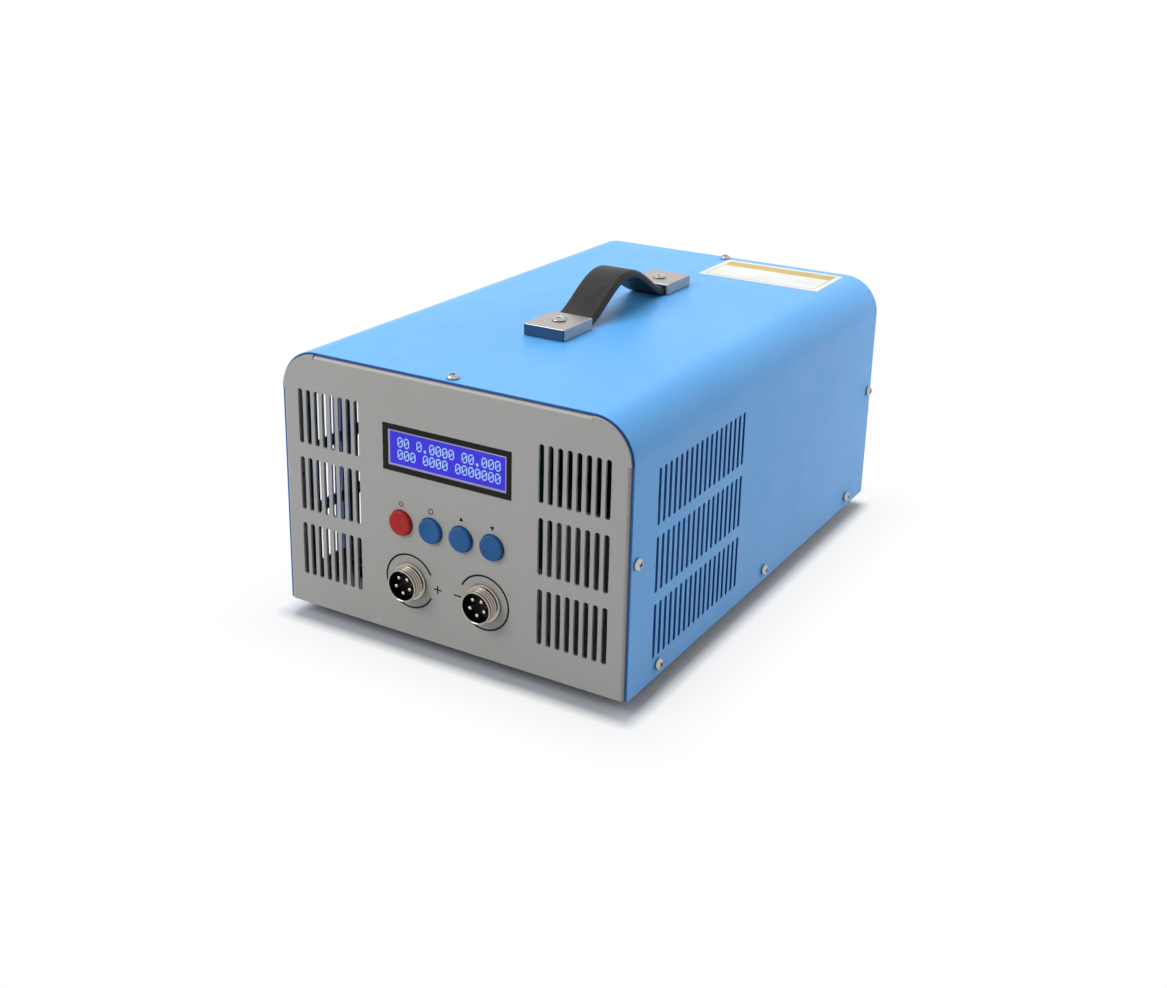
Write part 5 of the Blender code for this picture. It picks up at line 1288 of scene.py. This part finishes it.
def socket_pins(side, place, tail):
    """Five bright pins with round, dimpled ends."""
    tip = SOCKET_REACH - PIN_RECESS
    rings = [(PIN_RADIUS, tail), (PIN_RADIUS, tip - PIN_DOME)]
    for share in PIN_SHARES:
        turn = share * math.pi / 2
        rings.append((PIN_RADIUS * math.cos(turn), tip - PIN_DOME * (1 - math.sin(turn))))
    rings.append((PIN_DIMPLE, tip - PIN_DIMPLE_DEPTH))
    pins = []
    for pin in range(PIN_COUNT):
        angle = math.tau * (pin / PIN_COUNT - 0.25)
        offset = Vector((math.cos(angle), 0, math.sin(angle))) * PIN_CIRCLE
        pins.append(turned("pin", rings, Vector(place) + offset, (0, -1, 0), PIN_SIDES))
    group = join(pins, f"socket_pins_{side}")
    dress(smooth(group, 35), "bright_steel", "socket_insert_" + side)


def make_sockets():
    """Threaded nickel shells with black inserts and bright pins."""
    for side in ("left", "right"):
        middle = middle_of("socket_shell_" + side)
        place = (middle.x, PANEL_FACE, middle.z)
        insert = "socket_insert_" + side
        tail = PANEL_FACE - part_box(insert)[1].y
        socket_shell(side, place)
        socket_insert(insert, place, tail)
        socket_pins(side, place, tail)


def print_place(across, height):
    """A point on the panel's face where ink lies."""
    return Vector((across, PANEL_FACE, height))


def printed_block(name, centre, width, height):
    """A printed bar."""
    half = Vector((width / 2, PRINT_HEIGHT, height / 2))
    return add_block(name, centre - half, centre + half)


def printed_arc(name, centre, radius, line, gap_at=None, gap=0.0, steps=96):
    """A printed ring, open over a gap around a direction in degrees."""
    deselect()
    bpy.ops.mesh.primitive_circle_add(vertices=steps, radius=radius - line / 2, fill_type="NOTHING",
                                      location=centre, rotation=(math.pi / 2, 0, 0))
    ring = settle(name_new(name))
    if gap_at is not None:
        def inside(co):
            angle = math.degrees(math.atan2(co.z - centre.z, co.x - centre.x))
            return abs((angle - gap_at + 180) % 360 - 180) < gap
        pick(ring, "verts", inside)
        bpy.ops.mesh.delete(type="VERT")
        done()
    edit_all(ring)
    bpy.ops.mesh.extrude_edges_move()
    ratio = (radius + line / 2) / (radius - line / 2)
    bpy.ops.transform.resize(value=(ratio, 1, ratio), center_override=tuple(centre))
    done()
    bake(ring, "SOLIDIFY", thickness=2 * PRINT_HEIGHT, offset=0.0)
    return outward(ring)


def printed_triangle(name, centre, size, up):
    """A printed triangle that points up or down."""
    deselect()
    bpy.ops.mesh.primitive_cylinder_add(vertices=3, radius=size, depth=2 * PRINT_HEIGHT, location=centre,
                                        rotation=(math.pi / 2, 0, 0))
    piece = settle(name_new(name))
    heights = [vertex.co.z for vertex in piece.data.vertices]
    middle = (min(heights) + max(heights)) / 2
    points_up = sum(height > middle for height in heights) < 3
    if points_up != up:
        edit_all(piece)
        bpy.ops.transform.mirror(constraint_axis=(False, False, True), center_override=tuple(centre))
        done()
    return outward(piece)


def make_print():
    """Ink on the panel: open rings and signs at the sockets, plain symbols over the buttons."""
    pieces = []
    for node, gap_at in zip(SHELL_NODES, (0, 180)):
        middle = middle_of(node)
        pieces.append(printed_arc("ring", print_place(middle.x, middle.z), PRINTED_RING, PRINTED_LINE,
                                  gap_at, PRINTED_GAP))
    plus = print_place(PLUS_PLACE, BASE + SIGN_HEIGHT)
    minus = print_place(MINUS_PLACE, BASE + SIGN_HEIGHT)
    pieces.append(weld(printed_block("plus", plus, SIGN_SIZE, SIGN_LINE),
                       printed_block("plus_upright", plus, SIGN_LINE, SIGN_SIZE)))
    pieces.append(printed_block("minus", minus, SIGN_SIZE, SIGN_LINE))
    places = [middle_of(node) + Vector((0, 0, SYMBOL_LIFT)) for node in BUTTON_NODES]
    start, select, up, down = [print_place(place.x, place.z) for place in places]
    half = SYMBOL_SIZE / 2
    bar = POWER_BAR * half
    pieces.append(printed_arc("power", start, half, SYMBOL_LINE, 90, POWER_GAP, SYMBOL_STEPS))
    pieces.append(printed_block("power_bar", start + Vector((0, 0, bar / 2)), SYMBOL_LINE, bar))
    pieces.append(printed_arc("select", select, half, SYMBOL_LINE, steps=SYMBOL_STEPS))
    pieces.append(printed_triangle("up", up, TRIANGLE * half, True))
    pieces.append(printed_triangle("down", down, TRIANGLE * half, False))
    dress(join(pieces, "panel_print"), "print_ink", slot="black_plastic")


def make_label():
    """A blank white label with a gold band and a thin gold border."""
    low = spot(LABEL_LEFT, LABEL_FRONT, 0)
    high = spot(LABEL_RIGHT, LABEL_REAR, 0)
    sheet_top = TOP + LABEL_SHEET
    sheet = add_block("label_sheet", (low.x, low.y, TOP + LABEL_SINK), (high.x, high.y, sheet_top))
    round_edges(sheet, lambda a, b: abs(a.z - b.z) > HAIR, LABEL_CORNER, 5)
    dress(sheet, "label_white", slot="grey_panel")
    ink_low, ink_top = sheet_top - LABEL_SINK, sheet_top + LABEL_INK
    left, right = low.x + LABEL_MARGIN, high.x - LABEL_MARGIN
    front, rear = low.y + LABEL_MARGIN, high.y - LABEL_MARGIN
    border = add_block("label_border", (left, front, ink_low), (right, rear, ink_top))
    cut(border, add_block("inside", (left + LABEL_LINE, front + LABEL_LINE, ink_low - MM),
                          (right - LABEL_LINE, rear - LABEL_BAND, ink_top + MM)))
    dress(border, "label_gold", slot="grey_panel")


def grille_cutter():
    """Upright slots that fill the fan's circle, each column split by a middle rib."""
    centre = middle_of("fan_frame")
    columns = int(GRILLE_RADIUS // GRILLE_PITCH)
    slots = []
    for column in range(-columns, columns + 1):
        offset = column * GRILLE_PITCH
        reach = math.sqrt(max(GRILLE_RADIUS ** 2 - (abs(offset) + GRILLE_WIDTH / 2) ** 2, 0.0))
        length = reach - GRILLE_RIB / 2
        if length < 2 * GRILLE_WIDTH:
            continue
        for side in (-1, 1):
            place = (centre.x + offset, REAR_FACE, centre.z + side * (GRILLE_RIB / 2 + length / 2))
            slots.append(upright_slot("grille", place, "Y", GRILLE_WIDTH, length, THROUGH))
    return join(slots, "grille")


def make_rear_panel():
    """Rear panel with the fan's grille and the holes of the inlet, the switch and the port."""
    panel = folded_panel("rear_plate", REAR_FACE, -1)
    cut(panel, grille_cutter())
    for node in nodes_named("fan_screw_"):
        drill(panel, node, FAN_HOLE, REAR_FACE, 24)
    for node, inset in (("power_inlet", INLET_MARGIN), ("switch_body", SWITCH_MARGIN), ("data_port", 0)):
        open_panel(panel, node, inset, REAR_FACE)
    soften(panel, CUT_EDGE)
    dress(panel, "grey_panel", "rear_panel")


def rim_block(node, corner, segments, edge):
    """The rim of a part of the rear panel, with round corners and a round outer edge."""
    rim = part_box(node)[1].y
    block = framed(node + "_look", node, 0, REAR_FACE + GAP, rim)
    round_edges(block, deep, corner, segments)
    return round_edges(block, lambda a, b: min(a.y, b.y) > rim - HAIR, edge, 3)


def inlet_form(name, inset, near, far):
    """The inlet's shape: a block with its two upper corners cut off and its lower ones rounded."""
    low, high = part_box("power_inlet")
    middle = (low.z + high.z) / 2
    bottom = low.z + inset + HAIR
    form = framed(name, "power_inlet", inset, near, far)
    round_edges(form, lambda a, b: deep(a, b) and min(a.z, b.z) > middle, INLET_CHAMFER, 1)
    return round_edges(form, lambda a, b: deep(a, b) and max(a.z, b.z) < bottom, MM, 4)


def make_inlet():
    """Mains inlet: a rounded rim outside the panel, a deep mouth and three flat pins."""
    low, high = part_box("power_inlet")
    centre = (low + high) / 2
    rim = high.y
    inlet = rim_block("power_inlet", INLET_CORNER, 5, INLET_EDGE)
    weld(inlet, inlet_form("body", INLET_MARGIN, rim - INLET_DEPTH, REAR_FACE + 2 * GAP))
    cut(inlet, inlet_form("mouth", INLET_MARGIN + INLET_WALL, rim - INLET_CAVITY, rim + MM))
    soften(inlet, INLET_ROUND, degrees=50)
    dress(inlet, "black_plastic", "power_inlet")
    tip = rim - INLET_PIN_RECESS
    pins = []
    for way in (-1, 0, 1):
        across = centre.x + way * INLET_PIN_SPREAD
        height = centre.z + (-INLET_PIN_OFFSET if way else INLET_PIN_OFFSET)
        pin = add_block("pin", (across - INLET_PIN_WIDTH / 2, low.y, height - INLET_PIN_HEIGHT / 2),
                        (across + INLET_PIN_WIDTH / 2, tip, height + INLET_PIN_HEIGHT / 2))
        pins.append(round_edges(pin, lambda a, b: min(a.y, b.y) > tip - HAIR, INLET_PIN_EDGE, 3))
    group = join(pins, "power_inlet_pins")
    soften(group, INLET_PIN_ROUND, degrees=50)
    dress(group, "bright_steel", "power_inlet")


def make_switch():
    """Rocker switch: its rim and well, the dished key, and the two marks on the key."""
    low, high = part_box("switch_body")
    centre = (low + high) / 2
    rim = high.y
    body = rim_block("switch_body", SWITCH_CORNER, 4, SWITCH_EDGE)
    weld(body, framed("body", "switch_body", SWITCH_MARGIN, low.y, REAR_FACE + 2 * GAP))
    inset = SWITCH_MARGIN + SWITCH_WALL
    cut(body, framed("well", "switch_body", inset, rim - SWITCH_WELL, rim + MM))
    soften(body, SWITCH_ROUND, degrees=50)
    dress(body, "black_plastic", "switch_body")

    half = (high.x - low.x) / 2 - inset - GAP
    rise = (high.z - low.z) / 2 - inset - ROCKER_GAP
    key = add_block("switch_rocker_look", (-half, 0, -rise), (half, ROCKER_REACH, rise))
    pick(key, "edges", lambda a, b: abs(a.z - b.z) > HAIR)
    bpy.ops.mesh.subdivide(number_cuts=1)
    done()
    shift(key, lambda co: abs(co.z) < HAIR and co.y > HAIR, (0, -ROCKER_DISH, 0))
    shift(key, lambda co: abs(co.z) < HAIR and abs(co.y) < HAIR / 4, (0, -ROCKER_DEPTH, 0))
    place = Matrix.Translation((centre.x, rim - ROCKER_SINK, centre.z)) @ Matrix.Rotation(ROCKER_TILT, 4, "X")
    slope = math.atan(ROCKER_DISH / rise)
    depth = ROCKER_REACH - ROCKER_DISH / 2
    origin = Vector((0, 0, 0))
    marks = [printed_arc("off_mark", origin, MARK_SIZE / 2, MARK_LINE, steps=32),
             printed_block("on_mark", origin, MARK_LINE, MARK_SIZE)]
    for mark, way in zip(marks, (-1, 1)):
        lift = Matrix.Translation((0, depth, way * rise / 2))
        mark.matrix_world = place @ lift @ Matrix.Rotation(-way * slope, 4, "X")
        settle(mark)
    soften(key, ROCKER_ROUND, 3, 30)
    key.matrix_world = place
    dress(settle(key), "red_cap", "switch_rocker", body="switch_rocker")
    dress(join(marks, "switch_marks"), "white_mark", slot="grey_panel", body="switch_rocker")


def make_port():
    """Square data socket: a metal shell around a plain plastic tongue."""
    low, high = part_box("data_port")
    centre = (low + high) / 2
    shell = add_block("data_port_look", low, high)
    mouth = framed("mouth", "data_port", PORT_WALL, high.y - PORT_CAVITY, high.y + MM)
    for block, chamfer in ((shell, PORT_CHAMFER), (mouth, PORT_MOUTH_CHAMFER)):
        round_edges(block, lambda a, b: deep(a, b) and min(a.z, b.z) > centre.z, chamfer, 1)
    cut(shell, mouth)
    soften(shell, PORT_ROUND)
    dress(shell, "bright_steel", "data_port")
    half = PORT_TONGUE / 2
    tongue_low = (centre.x - PORT_TONGUE, high.y - PORT_CAVITY - PORT_OVERLAP, centre.z - half)
    tongue_high = (centre.x + PORT_TONGUE, high.y - half, centre.z + half)
    tongue = add_block("data_port_tongue", tongue_low, tongue_high)
    soften(tongue, TONGUE_ROUND)
    dress(tongue, "white_mark", "data_port", slot="bright_steel")


def keep_cad_nodes():
    """Finishes for the nodes inside, whose own shapes stay."""
    for finish, nodes in KEPT_NODES.items():
        for node in nodes:
            for material_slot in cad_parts[node].material_slots:
                material_slot.material = FINISHES[finish]


def make_stage():
    """A pale floor that takes the soft shadow near the case and turns to plain white away from it."""
    deselect()
    bpy.ops.mesh.primitive_plane_add(size=FLOOR_SIZE, location=(0, 0, 0))
    floor = name_new("studio_floor")
    # The floor's blue-tinted grey paints the blue cast of the case's bounce light into its shadow
    finish = Finish("floor_white", FLOOR_GREY_WITH_BLUE_CAST, 0.95, Specular_IOR_Level=0.0)
    across = (abs(finish.along("X")) - CASE_WIDTH / 2).most(0.0)
    along = (abs(finish.along("Y")) - CASE_LENGTH / 2).most(0.0)
    away = (across * across + along * along).root()
    away = away.clamp(0, SHADOW_EDGE, 0, SHADOW_SHARE) + away.clamp(0, SHADOW_END, 0, 1 - SHADOW_SHARE)
    white = finish.node("ShaderNodeEmission", {}, {"Color": (1, 1, 1), "Strength": 1.0})
    mixed = finish.node("ShaderNodeMixShader", {}, {0: away * finish.seen(),
                                                    1: Sum(finish, finish.shader.outputs[0]),
                                                    2: Sum(finish, white.outputs[0])})
    output = finish.tree.nodes["Material Output"]
    finish.feed(output.inputs["Surface"], Sum(finish, mixed.outputs[0]))
    floor.data.materials.append(finish.material)


def make_world():
    """Soft even light, and plain white where the camera or a reflection sees it."""
    world = bpy.data.worlds.new("studio")
    bpy.context.scene.world = world
    world.use_nodes = True
    graph = Graph(world.node_tree)
    background = graph.tree.nodes["Background"]
    graph.feed(background.inputs["Color"], (1, 1, 1))
    graph.feed(background.inputs["Strength"], graph.seen().clamp(0, 1, AMBIENT, 1.0))


def make_lights():
    """A large soft light above and to the left, and weaker ones in front and on the right."""
    for name, place, size, power, in_reflections in LAMPS:
        deselect()
        bpy.ops.object.light_add(type="AREA", location=place)
        lamp = bpy.context.object
        lamp.name = name
        lamp.data.size = size
        lamp.data.energy = power
        lamp.rotation_euler = (Vector(LAMP_AIM) - Vector(place)).to_track_quat("-Z", "Y").to_euler()
        lamp.visible_glossy = in_reflections


def make_camera():
    """The camera at the picture's place, with its small shift."""
    sin_a, cos_a = math.sin(CAMERA_AZIMUTH), math.cos(CAMERA_AZIMUTH)
    sin_e, cos_e = math.sin(CAMERA_ELEVATION), math.cos(CAMERA_ELEVATION)
    back = Vector((sin_a * cos_e, -cos_a * cos_e, sin_e))
    level = Vector((cos_a, sin_a, 0))
    up = back.cross(level)
    right = level * math.cos(CAMERA_ROLL) + up * math.sin(CAMERA_ROLL)
    over = -level * math.sin(CAMERA_ROLL) + up * math.cos(CAMERA_ROLL)
    data = bpy.data.cameras.new("picture_camera")
    camera = bpy.data.objects.new("picture_camera", data)
    bpy.context.scene.collection.objects.link(camera)
    place = spot(AIM_X, AIM_DEPTH, AIM_HEIGHT) + back * CAMERA_DISTANCE
    turn = Matrix((right, over, back)).transposed().to_4x4()
    camera.matrix_world = Matrix.Translation(place) @ turn
    data.sensor_width = SENSOR_WIDTH
    data.lens = CAMERA_FOCAL * SENSOR_WIDTH / PICTURE_WIDTH
    data.shift_y = (CENTRE_ROW - PICTURE_HEIGHT / 2) / PICTURE_WIDTH
    data.clip_start = CLIP_START
    bpy.context.scene.camera = camera


def main():
    """The studio, then each part of the tester."""
    bpy.context.scene.view_settings.view_transform = "Standard"
    for make in (make_camera, make_world, make_lights, make_stage, make_cover, make_front_panel,
                 make_rear_panel, make_screws, make_feet, make_caps, make_strap, make_display, make_buttons,
                 make_sockets, make_print, make_label, make_inlet, make_switch, make_port, keep_cad_nodes):
        make()


main()
